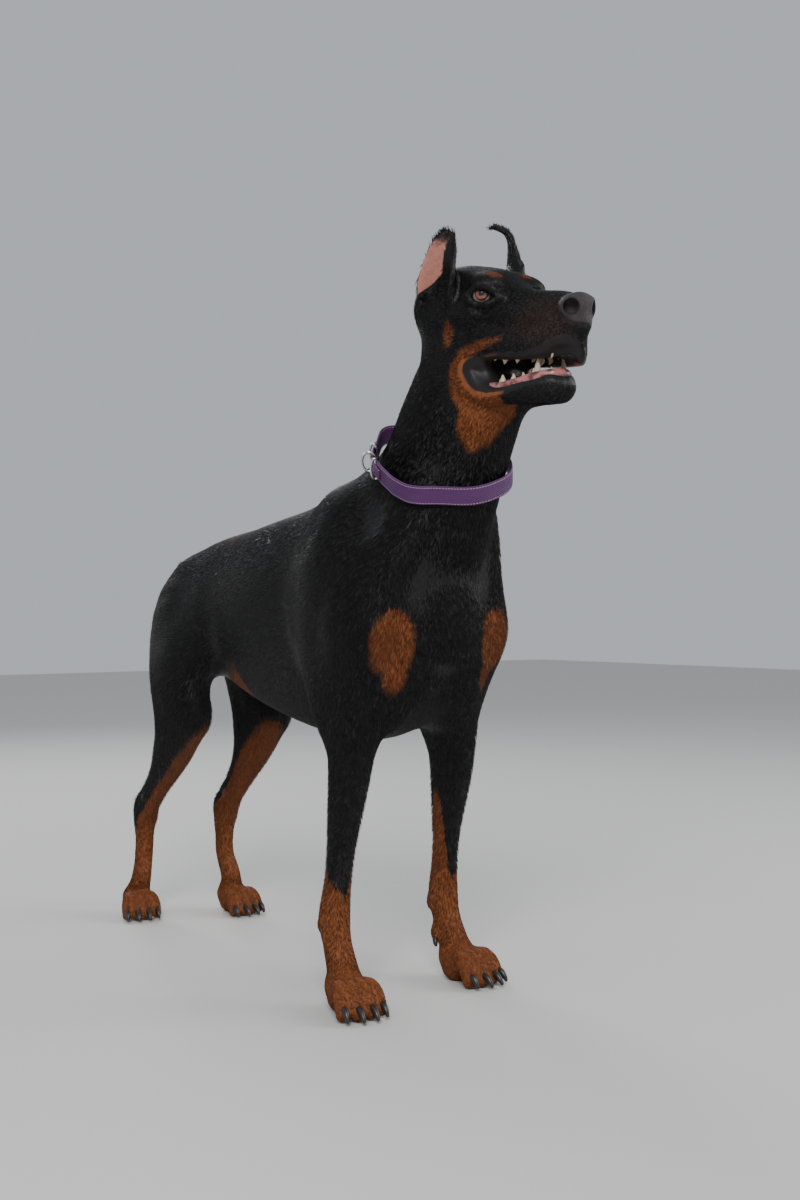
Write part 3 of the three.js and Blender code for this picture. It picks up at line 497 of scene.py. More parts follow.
def foreleg(leg):
    """Forearm, elbow, wrist and pastern."""
    s, ((ex, ey, ez), (cx, cy, cz)) = leg.s, leg.joints
    a, b, c = ((1 - t) * vec(ex, ey, ez) + t * vec(cx, cy, cz) for t in (0.22, 0.5, 0.8))
    fx, fy, _ = leg.ahead
    return [
        Muscle([[ex, ey, ez + 25, 28, 40], [ex, ey, ez, 29, 39], [a[0], a[1] - 2, a[2], 27, 34],
                [*b, 22, 27], [*c, 18.5, 21.5], [cx, cy, cz, 21, 23],
                [cx + fx * 6, cy + fy * 8, cz - 32, 19, 20.5],
                [cx + fx * 18, cy + fy * 24, cz - 66, 21, 21.5],
                [cx + fx * 30, cy + fy * 40, cz - 92, 24, 22]], 14),
        Muscle([[ex + s * 4, ey + 30, ez + 42, 13, 17], [ex, ey + 30, ez + 18, 13, 15],
                [ex, ey + 16, ez - 12, 12, 12]], 22),
        Ball((cx, cy + 21, cz - 14), (11, 10, 13), 12),
        Muscle([[ex + s * 9, ey - 16, ez - 8, 14, 16], [a[0] + s * 8, a[1] - 13, a[2] - 8, 14, 16],
                [b[0] + s * 3, b[1] - 9, b[2], 11, 12]], 16),
        Muscle([[cx - s * 12, cy - 2, cz - 42, 7, 8], [cx - s * 18, cy - 4, cz - 51, 6.5, 7.5],
                [cx - s * 20, cy - 7, cz - 58, 5, 5.5]], 5),
    ] + paw_forms(leg)


def hindleg(leg):
    """Thigh, knee, shin with its tendon, hock and metatarsus."""
    s, ((hx, hy, hz), (kx, ky, kz), (jx, jy, jz)), (px, py) = leg.s, leg.joints, leg.paw
    a, b, c = ((1 - t) * vec(kx, ky, kz) + t * vec(jx, jy, jz) for t in (0.3, 0.6, 0.85))
    fx, fy, _ = leg.ahead
    return [
        Muscle([[hx - s * 10, hy - 55, hz + 12, 26, 44], [hx + s * 8, hy - 60, hz - 50, 36, 54],
                [kx - s * 2, ky + 28, kz + 75, 38, 52], [kx, ky + 14, kz + 12, 31, 38]], 28),
        Muscle([[hx - s * 10, hy + 15, hz, 26, 54], [hx + s * 12, hy + 20, hz - 50, 36, 64],
                [kx - s * 3, ky + 62, kz + 70, 31, 54], [kx - s * 2, ky + 52, kz - 10, 25, 38]], 28),
        Muscle([[hx - s * 14, hy + 72, hz - 18, 24, 26], [hx + s * 2, hy + 62, hz - 90, 28, 27],
                [kx - s * 4, ky + 88, kz + 45, 24, 25], [kx - s * 3, ky + 72, kz - 30, 17, 23]], 30),
        Ball((kx, ky - 12, kz - 2), (20, 18, 26), 22),
        Muscle([[kx, ky + 14, kz - 4, 29, 38], [a[0], a[1] + 2, a[2], 26, 36],
                [b[0], b[1] - 6, b[2], 19, 25], [c[0], c[1] - 12, c[2], 15, 18],
                [jx, jy - 14, jz - 4, 16, 19]], 16),
        Muscle([[kx - s * 2, ky + 62, kz - 6, 22, 30], [a[0], a[1] + 38, a[2] + 2, 20, 26],
                [b[0], b[1] + 18, b[2] + 10, 12, 16], [jx, jy + 8, jz + 22, 10, 14], [jx, jy + 15, jz + 6,
                                                                                      10, 12]], 18),
        Muscle([[jx, jy - 8, jz + 2, 17, 22], [jx, jy - 4, jz - 22, 16, 20],
                [jx + fx * 4, jy - 2, jz - 70, 15, 17],
                [(jx + px) / 2 + fx * 8, (jy + py) / 2 - 2 + fy * 4, 62, 16.5, 18],
                [px - fx * 10, py - fy * 10, 34, 20, 19]], 12),
        Muscle([[jx, jy + 13, jz + 22, 9, 11], [jx, jy + 14, jz + 4, 10.5, 12],
                [jx, jy + 10, jz - 24, 9, 10]], 14),
    ] + paw_forms(leg)


# Head, in its own frame: the middle plane is x = 0, the eyes stand near z = 10, the nose points to -y.
HEAD_AT = (27.5, -430.4, 914.8)
YAW, PITCH, ROLL = (math.radians(v) for v in (-5.5, -9.8, -3.4))
ABOUT_Z = np.array([[math.cos(YAW), -math.sin(YAW), 0], [math.sin(YAW), math.cos(YAW), 0], [0, 0, 1]])
ABOUT_X = np.array([[1, 0, 0], [0, math.cos(PITCH), math.sin(PITCH)],
                    [0, -math.sin(PITCH), math.cos(PITCH)]])
ABOUT_Y = np.array([[math.cos(ROLL), 0, math.sin(ROLL)], [0, 1, 0], [-math.sin(ROLL), 0, math.cos(ROLL)]])
HEAD_TURN = ABOUT_Z @ ABOUT_X @ ABOUT_Y
EYE_AT, EYE_RADIUS = vec(37.5, -39, 12), 13.2
NOSTRIL = (18.5, -195, -3)


def on_head(points):
    return np.asarray(points) @ HEAD_TURN.T + np.array(HEAD_AT)


UPPER_LID = [[57, -30, 9, 3.2, 3.2], [52, -41, 20, 3.6, 4.2], [43, -55, 22, 3.6, 4.4],
             [30, -67, 10, 2.6, 2.6]]
LOWER_LID = [[57, -30, 9, 3.2, 3.2], [52, -43, 0.5, 3, 3.4], [42, -57, 0.5, 3, 3.4],
             [30, -67, 8, 2.6, 2.6]]
RIGHT_EAR = [[50, 36, 10, 24, 38, 6], [53, 33, 38, 26, 36, 4.4], [55, 29, 60, 26, 28, 3.8],
             [54, 20, 81, 24, 19, 3.6], [51, 14, 93, 22, 9, 3.4]]
LEFT_EAR = [[46, 36, 8, 26, 37, 6.4], [50, 28, 44, 32, 32, 5.6], [51, 28, 70, 32, 22, 5.2],
            [50, 29, 87, 30, 16, 4.6], [46, 31, 98, 28, 11, 4.4], [38, 37, 104, 24, 8, 4.2],
            [30, 43, 105, 24, 7, 4.0], [23, 48, 103, 22, 4, 3.6]]
HEAD = [
    Ball((0, 36, 3), (55, 68, 48), 14),
    Ball((0, -12, 14), (44, 50, 32), 18),
    Paired(Muscle([[18, 84, 26, 14, 14], [25, 20, 34, 18, 12], [28, -30, 28, 17, 11]], 16)),
    Paired(Ball((34, -44, 26), (15, 17, 11), 14)),
    Paired(Ball((49, 0, -13), (13, 44, 14), 18)),
    Paired(Ball((40, 44, -38), (21, 36, 44), 22)),
    Paired(Ball((47, 68, -4), (20, 28, 32), 18)),
    Muscle([[0, -25, -8, 44, 44], [0, -75, -20, 34, 38], [0, -130, -24, 26, 35], [0, -164, -24, 22, 31],
            [0, -182, -18, 17, 20]], 20),
    Muscle([[0, -40, 14, 22, 13], [0, -100, 7, 16, 12], [0, -150, 6, 15, 12], [0, -182, 3, 15, 11]], 12),
    Paired(Muscle([[40, -40, -48, 10, 20], [34, -90, -49, 11, 20], [27, -130, -48, 11, 20],
                   [17, -158, -46, 11, 22], [6, -171, -48, 10, 18]], 14)),
    Ball((0, -186, -20), (16, 15, 15), 10),
    Ball((0, -189, 1), (21, 13, 15), 7),
    Paired(Ball((14, -185, -3), (13, 16, 14), 6)),
    Paired(Muscle([[44, 30, -62, 11, 26], [43, -8, -84, 10, 18], [40, -55, -111, 10, 11],
                   [34, -91, -110, 11, 12], [27, -125, -103, 11, 15], [16, -149, -97, 11, 18],
                   [5, -156, -96, 10, 18]], 12)),
    Muscle([[0, 10, -84, 36, 30], [0, -40, -104, 32, 18], [0, -90, -110, 26, 11], [0, -135, -108, 20, 11],
            [0, -150, -102, 13, 13]], 18),
    Paired(Muscle([[45, -6, -56, 8, 22], [44, -26, -74, 6, 20]], 12)),
    Muscle([[45, -40, -62, 7, 22], [40, -92, -64, 7, 21], [32, -130, -64, 7, 18], [22, -162, -62, 7, 16],
            [8, -178, -58, 8, 17]], 8),
    Muscle([[0, -20, -84, 24, 8], [0, -60, -87, 33, 17], [0, -100, -83, 28, 15], [0, -140, -75, 21, 12],
            [0, -174, -70, 15, 10]], 6, cut=True),
    Muscle([[-46, -40, -80, 9, 4], [-46, -60, -87, 13, 13], [-41, -92, -84, 13, 14],
            [-34, -125, -78, 12, 10], [-27, -158, -71, 12, 9], [-20, -177, -63, 10, 13],
            [-13, -189, -60, 7, 12]], 5, cut=True),
    Muscle([[46, -40, -80, 9, 4], [46, -60, -87, 13, 11], [41, -92, -86, 13, 10], [33, -125, -82, 12, 7],
            [25, -158, -78, 12, 4.5], [13, -182, -75, 10, 3], [0, -194, -74, 10, 3], [-13, -187, -72, 8,
                                                                                      4]], 3, cut=True),
    Paired(Muscle(UPPER_LID, 9)),
    Paired(Muscle(LOWER_LID, 9)),
    Paired(Ball(EYE_AT, [EYE_RADIUS + 0.2] * 3, 1.0, cut=True)),
    Paired(Ball(NOSTRIL, (8.5, 14, 9), 3, turn=40, cut=True)),
    Ear(-1, RIGHT_EAR, 9),
    Ear(1, LEFT_EAR, 9),
]

BODY = [Trunk(TRUNK, 20)] + shoulder(-1) + shoulder(1)
for leg in LEGS:
    BODY += foreleg(leg) if leg.name.startswith("fore") else hindleg(leg)
BODY += NECK + TAIL + [Placed(HEAD, HEAD_AT, HEAD_TURN, 28)]
SKIN_DEPTH = 1.0                                  # the hide lies this far under the coat's surface


def runs(*stretches):
    """Cell edges from stretches of (start, end, step)."""
    parts = [np.linspace(a, b, max(int(round((b - a) / step)), 1) + 1)[:-1] for a, b, step in stretches]
    return np.append(np.concatenate(parts), stretches[-1][1])


COARSE = 1.0
GRID = (runs((-170, 180, 3.9 * COARSE ** 0.5)), runs((-650, -395, 3.3), (-395, 420, 5.4 * COARSE)),
        runs((-4, 70, 3.0), (70, 770, 5.8 * COARSE), (770, 1050, 3.2 * COARSE ** 0.5)))


def level_on_grid(forms, axes):
    """The blend on a grid; each form is only worked out in its own box of the grid."""
    out = np.full([len(a) for a in axes], 60.0, np.float32)
    for form in forms:
        margin = max(form.k, 12) + 14
        cut = tuple(slice(*np.searchsorted(a, (lo - margin, hi + margin))) for a, lo,
                    hi in zip(axes, form.low, form.high))
        x, y, z = (a[c].astype(np.float32) for a, c in zip(axes, cut))
        out[cut] = fold(out[cut], form, form.inside(x[:, None, None], y[None, :, None], z[None, None, :]))
    return out


def hide_over(values, axes):
    """One point in each cell that the zero level crosses, at the mean of its crossings, and one
    four-sided face for each grid edge that it crosses."""
    low = values < 0
    nx, ny, nz = values.shape
    corners = [(i, j, k) for i in (0, 1) for j in (0, 1) for k in (0, 1)]
    count = sum(low[i:nx - 1 + i, j:ny - 1 + j, k:nz - 1 + k].astype(np.int8) for i, j, k in corners)
    cell = np.array(np.nonzero((count > 0) & (count < 8)))
    number = np.full(count.shape, -1)
    number[tuple(cell)] = np.arange(cell.shape[1])
    total, found = np.zeros((cell.shape[1], 3)), np.zeros(cell.shape[1])
    for i, a in enumerate(corners):
        for b in corners[i + 1:]:
            if sum(abs(p - q) for p, q in zip(a, b)) != 1:
                continue
            at_a, at_b = (cell + np.array(c)[:, None] for c in (a, b))
            fa, fb = values[tuple(at_a)], values[tuple(at_b)]
            crossed = (fa < 0) != (fb < 0)
            t = np.where(crossed, fa / np.where(crossed, fa - fb, 1), 0)
            for c in range(3):
                ga, gb = axes[c][at_a[c]], axes[c][at_b[c]]
                total[:, c] += np.where(crossed, ga + t * (gb - ga), 0)
            found += crossed
    faces = []
    for c in range(3):
        u, v = (c + 1) % 3, (c + 2) % 3
        first, second = low.take(range(low.shape[c] - 1), c), low.take(range(1, low.shape[c]), c)
        edge = np.array(np.nonzero(first != second))
        flip = ~first[tuple(edge)]
        quad = []
        for du, dv in ((1, 1), (0, 1), (0, 0), (1, 0)):
            at = edge.copy()
            at[u] -= du
            at[v] -= dv
            quad.append(number[tuple(at)])
        quad = np.stack(quad, 1)
        quad[flip] = quad[flip][:, ::-1]
        faces.append(quad)
    return total / found[:, None], np.vstack(faces)


def slope(forms, points, step=0.4):
    """The blend's slope at the points, by differences."""
    out = np.empty_like(points)
    for c in range(3):
        shift = np.zeros(3)
        shift[c] = step
        out[:, c] = (level_at(forms, points + shift) - level_at(forms, points - shift)) / (2 * step)
    return out


def settle(forms, points, depth, rounds=2):
    """Moves the points to the level that lies depth under the surface, along the slope."""
    for _ in range(rounds):
        g = slope(forms, points)
        away = (level_at(forms, points) + depth) / np.maximum((g * g).sum(1), 0.2)
        points = points - np.clip(away, -2.5, 2.5)[:, None] * g
    return points


def split_where(points, triangles, wanted):
    """Splits each wanted triangle's edges in the middle, and fits the triangles beside them."""
    edges = np.sort(np.stack([triangles, np.roll(triangles, -1, 1)], 2), 2)
    keys, place = np.unique(edges.reshape(-1, 2), axis=0, return_inverse=True)
    place = place.reshape(-1, 3)
    marked = np.zeros(len(keys), bool)
    marked[place[wanted].ravel()] = True
    number = np.where(marked, len(points) + np.cumsum(marked) - 1, -1)
    points = np.vstack([points, points[keys[marked]].mean(1)])
    cut = marked[place]
    out = [triangles[~cut.any(1)]]
    for k in range(3):
        t, m = np.roll(triangles, -k, 1), number[np.roll(place, -k, 1)]
        turned = np.roll(cut, -k, 1)
        one = turned[:, 0] & ~turned[:, 1] & ~turned[:, 2]
        a, b, c = t[one].T
        out += [np.stack([a, m[one, 0], c], 1), np.stack([m[one, 0], b, c], 1)]
        two = turned[:, 0] & turned[:, 1] & ~turned[:, 2]
        a, b, c = t[two].T
        ab, bc = m[two, 0], m[two, 1]
        out += [np.stack([a, ab, c], 1), np.stack([ab, bc, c], 1), np.stack([ab, b, bc], 1)]
    three = cut.all(1)
    a, b, c = triangles[three].T
    ab, bc, ca = number[place[three]].T
    out += [np.stack(f, 1) for f in ((a, ab, ca), (ab, b, bc), (ca, bc, c), (ab, bc, ca))]
    return points, np.vstack(out)


values = level_on_grid(BODY, GRID)
values = np.maximum(values, 1.2 - GRID[2][None, None, :]).astype(np.float32)
hide, quads = hide_over(values, GRID)
hide = settle(BODY, hide, SKIN_DEPTH)
triangles = np.vstack([quads[:, :3], quads[:, [0, 2, 3]]])


def face_local(points):
    return (points - np.array(HEAD_AT)) @ HEAD_TURN


for reach in (26.0, 19.0):
    middle = face_local(hide[triangles].mean(1))
    middle[:, 0] = np.abs(middle[:, 0])
    near_eye = np.linalg.norm(middle - (EYE_AT + vec(7, -8, 0)), axis=1) < reach
    near_nose = np.linalg.norm(middle - vec(8, -196, -2), axis=1) < reach * 1.1
    hide, triangles = split_where(hide, triangles, near_eye | near_nose)
    hide = settle(BODY, hide, SKIN_DEPTH)
hide[:, 2] = np.maximum(hide[:, 2], 0.2)


def relaxed(points, faces, share, passes):
    """Moves each point by its share towards the mean of its neighbours, several times."""
    beside = np.roll(faces, -1, 1)
    a, b = np.concatenate([faces, beside]).ravel(), np.concatenate([beside, faces]).ravel()
    count = np.bincount(a, minlength=len(points))
    for _ in range(passes):
        mean = np.stack([np.bincount(a, points[b, c], len(points)) for c in range(3)], 1) / count[:, None]
        points = points + (mean - points) * share[:, None]
    return points


def on_skull(points):
    """1 on the head, 0 behind it, with a soft change over the nape and throat."""
    q = (face_local(points) - vec(0, -55, -25)) / vec(95, 175, 115)
    return np.clip((1.1 - np.linalg.norm(q, axis=1)) * 6, 0, 1)


calm = np.clip((hide[:, 2] - 110) / 90, 0, 1) * (1 - on_skull(hide))
hide = relaxed(hide, triangles, calm * 0.6, 30 if COARSE == 1.0 else 10)
hide = relaxed(hide, triangles, np.where(hide[:, 2] > 1.0, 0.25, 0.0), 2)


# Markings. Every mark is a depth in millimetres inside its patch, so that the shader can fray its edge.
# Black is the ground colour; rust lies over the brows, cheeks, throat, chest, legs and under the tail.
def blob(p, at, half):
    """Depth inside an ellipsoid: (1 - |(p - at) / half|) min(half)."""
    return (1 - np.linalg.norm((p - vec(*at)) / vec(*half), axis=1)) * min(half)


def trail(p, rows):
    """Depth inside a row of balls x, y, z, radius, joined up."""
    best = np.full(len(p), -60.0)
    for one, two in zip(rows[:-1], rows[1:]):
        a, e = vec(*one[:3]), vec(*two[:3]) - vec(*one[:3])
        t = np.clip((p - a) @ e / (e @ e), 0, 1)
        away = np.linalg.norm(p - a - t[:, None] * e, axis=1)
        best = np.maximum(best, one[3] + t * (two[3] - one[3]) - away)
    return best


def paired_local(points):
    q = face_local(points)
    q[:, 0] = np.abs(q[:, 0])
    return q


def leg_line(leg, z):
    """The middle of a leg at height z: joints of the limb, then the paw."""
    joints = leg.joints + [(*leg.on_paw(-14, 0, 0)[:2], 40), (*leg.on_paw(10, 0, 0)[:2], 0)]
    x, y, h = np.array(sorted(joints, key=lambda j: j[2])).T
    return np.interp(z, h, x), np.interp(z, h, y)


CHEEK_BAND = [[43, -90, -42, 5], [51, -54, -50, 7], [57, -27, -64, 9], [59, -20, -84, 10],
              [55, -28, -108, 14], [40, -50, -128, 22]]
THROAT = [[2, -486, 812, 34], [-6, -468, 786, 37], [-12, -452, 756, 28], [-16, -446, 734, 12]]
HIND_EDGE = ([0, 100, 135, 175, 250, 340, 400, 450], [-3, -2, -0.75, -0.3, 0.2, 0.75, 1.1, 1.7])


def leg_rust(p, leg):
    """On a foreleg rust rises inside the leg, on a hindleg along its front and inside."""
    x, y, z = p.T
    cx, cy = leg_line(leg, z)
    inner, front = -leg.s * (x - cx), cy - y
    near = 95 - np.hypot(x - cx, (y - cy) * 0.7)
    if leg.name.startswith("fore"):
        r = np.hypot(inner, front) + 1e-6
        inside = np.clip(inner / r, 0, 1)
        edge = 141 + 24 * np.clip(-inner / r, 0, 1) + 130 * inside ** 2 + 26 * np.clip(-front / r, 0, 1)
        return np.minimum(edge - z, near)
    deep = np.interp(z, [100, 200, 300, 400], [18, 22, 40, 75])
    share = 0.9 * front / deep + 0.8 * inner / (deep * 0.8)
    return np.minimum((share - np.interp(z, *HIND_EDGE)) * 18, near)


def rust(points):
    q, side = paired_local(points), points.copy()
    side[:, 0] = np.abs(side[:, 0])
    marks = [blob(q, (61, 2, -37), (13, 8, 16)), trail(q, CHEEK_BAND), trail(points, THROAT),
             blob(q, (26, -48, 37), (10, 9, 8)), blob(side, (86, -378, 482), (30, 60, 44)),
             blob(side, (76, -368, 442), (14, 60, 26)), blob(points, (0, 322, 515), (26, 40, 44))]
    marks += [leg_rust(points, leg) for leg in LEGS]
    return np.max(marks, 0)


MOUTH_CUTS = [form for form in HEAD if form.cut][:3]
SOLID_HEAD = [form for form in HEAD if not form.cut]
NOSE_PAD = (30, 25, 22)


def head_marks(points):
    """Depths of nose leather, lips, gum and ear lining, for points on the head; far outside elsewhere. The
    lips' black also paints shade over the inside of the upper mouth.
    """
    q = face_local(points)
    paired = paired_local(points)
    out = {name: np.full(len(q), -20.0) for name in ("leather", "lip", "gum", "lining")}
    out["leather"] = np.maximum(blob(q, (0, -193, -1), NOSE_PAD), -20)
    # Painted shade: a near-black mark in and round each nostril, standing for the shadow inside the nose's
    # hollows.
    out["nostril"] = np.maximum(blob(paired, NOSTRIL, (8.5, 13, 9)), -20)
    near = np.all((paired > (-1, -215, -125)) & (paired < (70, -15, -25)), 1)
    if near.any():
        opening = np.min([form.inside(*q[near].T) for form in MOUTH_CUTS], 0)
        cover = level_at(SOLID_HEAD, q[near])
        # The lips' black reaches over the whole inside of the mouth; the flesh colour below covers only the
        # part under z = -66 in the head's frame, so the upper mouth stays black as painted shade.
        out["lip"][near] = 10 - opening
        out["gum"][near] = np.min([3 - opening, -cover - 3, (-66 - q[near, 2]) * 0.5], 0)
    out["umber"] = blob(paired, (20, -140, -22), (30, 66, 40))
    for ear in SOLID_HEAD[-2:]:
        near = np.all((q > ear.low) & (q < ear.high) & (q[:, 2:] > 4), 1)
        if near.any():
            bowl, rear = ear.bowl(q[near])
            out["lining"][near] = np.maximum(out["lining"][near], np.minimum(bowl, rear + 3))
    return out


marks = {"rust": rust(hide), **head_marks(hide)}
high = hide[:, 2]
marks["down"] = np.clip((430 - high) / 80, 0, 1) + np.clip((high - 560) / 80, 0, 1) * (hide[:, 1] < -250)


def mark(piece, values):
    for name, value in values.items():
        layer = piece.data.attributes.new(name, "FLOAT", "POINT")
        layer.data.foreach_set("value", np.asarray(value, np.float32))


def dog_sheet(name, hair):
    """The dog's colours, with painted shade in the nostrils and inside the upper mouth, shared by the skin
    and the coat over it.
    """
    sheet = Sheet(name)
    place = sheet.place()
    fray = sheet.noise(place, 160.0, 4.0, 0.6)
    drift = sheet.noise(place, 14.0, 3.0)
    fuzz = (fray - 0.5) * 14 + (drift - 0.5) * 12
    down = sheet.attribute("down")
    level_hair = sheet.noise(sheet.stretched(place, (900, 90, 900)), 1.0, 2.0)
    hanging_hair = sheet.noise(sheet.stretched(place, (900, 900, 90)), 1.0, 2.0)
    strands = level_hair * (1 - down.clamp()) + hanging_hair * down.clamp()
    black = sheet.blend(strands, rgb(0.0035, 0.0035, 0.004), rgb(0.013, 0.012, 0.0125))
    rusty = sheet.blend(strands, rgb(0.10, 0.026, 0.006), rgb(0.33, 0.100, 0.028))
    rusty = sheet.blend(drift.above(0.55, 0.8), rusty, rgb(0.20, 0.055, 0.016))
    umber = (sheet.attribute("umber") + fuzz).above(-6.0, 18.0)
    brown = sheet.blend(strands, rgb(0.012, 0.006, 0.004), rgb(0.060, 0.028, 0.017))
    black = sheet.blend(umber * 0.6, black, brown)
    tan = (sheet.attribute("rust") + fuzz).above(-3.0, 4.0)
    rusty = sheet.blend(fray.above(0.45, 0.75) * 0.4, rusty, black)
    colour = sheet.blend(tan, black, rusty)
    lining = (sheet.attribute("lining") + fuzz * 0.2).above(0.0, 1.5)
    pink = sheet.blend(fray, rgb(0.30, 0.115, 0.085), rgb(0.50, 0.22, 0.17))
    colour = sheet.blend(lining, colour, pink)
    # Black over the lips and, as painted shade, over the inside of the upper mouth.
    lip = (sheet.attribute("lip") + fuzz * 0.15).above(0.0, 2.5)
    colour = sheet.blend(lip, colour, rgb(0.012, 0.010, 0.010))
    gum = sheet.attribute("gum").above(0.0, 2.0)
    flesh = sheet.blend(drift.above(0.4, 0.65), rgb(0.30, 0.085, 0.08), rgb(0.09, 0.03, 0.03))
    colour = sheet.blend(gum, colour, flesh)
    leather = sheet.attribute("leather").above(0.0, 2.0)
    # Painted shade: the nostril mark turns the leather near black, for the shadow in the nostrils.
    nostril = sheet.attribute("nostril").above(-1.0, 2.0)
    colour = sheet.blend(leather, colour, rgb(0.036, 0.028, 0.030))
    colour = sheet.blend(nostril, colour, rgb(0.002, 0.002, 0.002))
    wet = (lip + leather + gum).clamp()
    rough = (0.42 + tan * 0.16 + (strands - 0.5) * 0.12) * (1 - wet) + wet * 0.48
    pores = sheet.cells(place, 900.0)
    height = strands * (1 - wet) + pores * leather * 0.8 + fray * wet * 0.2
    sheet.set(Base_Color=colour, Roughness=rough, Normal=sheet.bump(height, 0.0009, 0.7 if hair else 0.9))
    sheet.shader.inputs["Specular IOR Level"].default_value = 0.25
    sheet.shader.inputs["Sheen Weight"].default_value = 0.02
    return sheet


skin = build("skin", hide, triangles, dog_sheet("short_black_and_rust_coat", False).material)
mark(skin, marks)
FLESH = ["torso", "neck", "head", "lower_jaw", "tail", "ear_left", "ear_right"]
for leg in LEGS:
    end, side = leg.name.split("_")
    parts = ("foreleg", "forepaw") if end == "fore" else ("thigh", "shin", "hindpaw")
    FLESH += [f"{part}_{side}" for part in parts]
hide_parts(*FLESH)
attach(skin, "root")


# Eyes. Two glossy globes with an orange-brown iris, a black pupil and a dark rim, set in the lids
# of the skin. The iris turns with the gaze, which goes forwards and a little up.
def round_faces(rings, sides):
    """Faces round rings of points, and triangles to the two end points that follow them in the list."""
    j = np.arange(sides)
    k = (j + 1) % sides
    i = np.arange(rings - 1)[:, None] * sides
    quads = np.stack([i + j, i + k, i + sides + k, i + sides + j], 2).reshape(-1, 4)
    first, end = rings * sides, (rings - 1) * sides
    caps = np.vstack([np.stack([k, j, 0 * j + first], 1),
                      np.stack([end + j, end + k, 0 * j + first + 1], 1)])
    return [quads, caps]


def globe(radius, rows=32, columns=48):
    """A sphere with its poles along y, x = r sin(a) cos(b), y = -r cos(a), z = r sin(a) sin(b)."""
    a = np.linspace(0, math.pi, rows + 1)[1:-1, None]
    b = np.linspace(0, 2 * math.pi, columns, endpoint=False)[None, :]
    ring = np.stack([np.sin(a) * np.cos(b), -np.cos(a) + 0 * b, np.sin(a) * np.sin(b)], 2).reshape(-1, 3)
    return np.vstack([ring, [[0, -1, 0], [0, 1, 0]]]) * radius, round_faces(rows - 1, columns)


GAZE = unit((-0.30, -1.0, 0.20))
OUTWARDS = 0.62                                   # how far each eye turns out from the gaze
for s, side in ((-1, "right"), (1, "left")):
    points, faces = globe(EYE_RADIUS)
    look = unit(GAZE + vec(OUTWARDS * s, 0, 0))
    eye_sheet = Sheet("eye_" + side)
    away = eye_sheet.attribute("off_gaze")
    streaks = eye_sheet.noise(eye_sheet.place(), 900.0, 3.0)
    iris = eye_sheet.blend(streaks, rgb(0.10, 0.024, 0.006), rgb(0.30, 0.085, 0.022))
    iris = eye_sheet.blend(away.above(0.55, 0.68), iris, rgb(0.03, 0.010, 0.004))
    white = eye_sheet.blend(streaks, rgb(0.34, 0.25, 0.22), rgb(0.48, 0.38, 0.34))
    ball_colour = eye_sheet.blend(away.above(0.72, 0.80), iris, white)
    eye_sheet.set(Base_Color=eye_sheet.blend(away.above(0.30, 0.34), rgb(0.002, 0.002, 0.002),
                                             ball_colour),
                  Roughness=0.04, Coat_Weight=1.0, Coat_Roughness=0.02)
    eye = build("eye_" + side, on_head(points + EYE_AT * (s, 1, 1)), faces, eye_sheet.material)
    mark(eye, {"off_gaze": np.arccos(np.clip(points / EYE_RADIUS @ look, -1, 1))})
    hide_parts("eye_" + side)
    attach(eye, "root")


# Teeth. Bone-white, slightly yellow: rows of x, y, z of the gum's edge, height and radius. The lower row
# stands in the lower gum, the upper row hangs behind the upper lip. The solids of head and jaw hold theirs.
def loft(rows, sides, side=(1, 0, 0), n=4):
    """Elliptical rings along smooth rows of x, y, z, radius to the side, radius in depth; closed ends."""
    path = smooth_rows(rows, n)
    ahead = unit(np.gradient(path[:, :3], axis=0))
    u = unit(unit(side) - ahead * (ahead @ unit(side))[:, None])
    v = np.cross(ahead, u)
    a = np.linspace(0, 2 * math.pi, sides, endpoint=False)
    rings = (path[:, None, :3] + u[:, None] * (path[:, 3, None] * np.cos(a))[..., None]
             + v[:, None] * (path[:, 4, None] * np.sin(a))[..., None])
    ends = [path[0, :3] - ahead[0] * path[0, 4] * 0.4, path[-1, :3] + ahead[-1] * path[-1, 4] * 0.4]
    return np.vstack([rings.reshape(-1, 3), ends]), round_faces(len(path), sides)


def gather(lofts):
    """Several lofts as one list of points and faces."""
    starts = np.cumsum([0] + [len(points) for points, _ in lofts])
    quads, caps = (np.vstack([faces[kind] + start for (_, faces),
                              start in zip(lofts, starts)]) for kind in (0, 1))
    return np.vstack([points for points, _ in lofts]), [quads, caps]


LOWER_TEETH = [[20, -138, -82, 20, 3.8], [4, -157, -80, 5, 2.4], [10, -153, -80, 6, 2.6],
               [26, -118, -93, 11, 3.4], [29, -102, -97, 13, 4.2], [31, -82, -101, 15, 5],
               [32, -62, -104, 12, 5]]
UPPER_TEETH = [[16, -160, -50, 13, 4], [4, -172, -50, 8, 2.6], [10, -168, -50, 9, 2.8],
               [23, -126, -56, 8, 3.2], [26, -104, -58, 13, 4.8], [29, -82, -59, 14, 5.2],
               [30, -62, -60, 9, 4.4]]
TOOTH_ROOT = 9                                    # how deep each tooth stands in its gum
teeth = []
for rows, up in ((LOWER_TEETH, 1), (UPPER_TEETH, -1)):
    for x, y, z, high, r in rows:
        for s in (-1, 1):
            root = [s * x, y, z - up * TOOTH_ROOT, r, r * 1.2]
            neck = [s * x, y - 0.5, z + up * high * 0.35, r * 0.9, r * 1.1]
            crown = [s * (x - 0.5), y, z + up * high * 0.75, r * 0.5, r * 0.55]
            point = [s * (x - 1), y + 2, z + up * high, 0.7, 0.7]
            teeth.append(loft([root, neck, crown, point], 12))
points, faces = gather(teeth)
tooth_sheet = Sheet("tooth_enamel")
stain = tooth_sheet.noise(tooth_sheet.place(), 120.0)
tooth_sheet.set(Base_Color=tooth_sheet.blend(stain, rgb(0.42, 0.32, 0.20), rgb(0.66, 0.57, 0.42)),
                Roughness=0.22)
teeth_piece = build("teeth", on_head(points), faces, tooth_sheet.material)
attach(teeth_piece, "root")


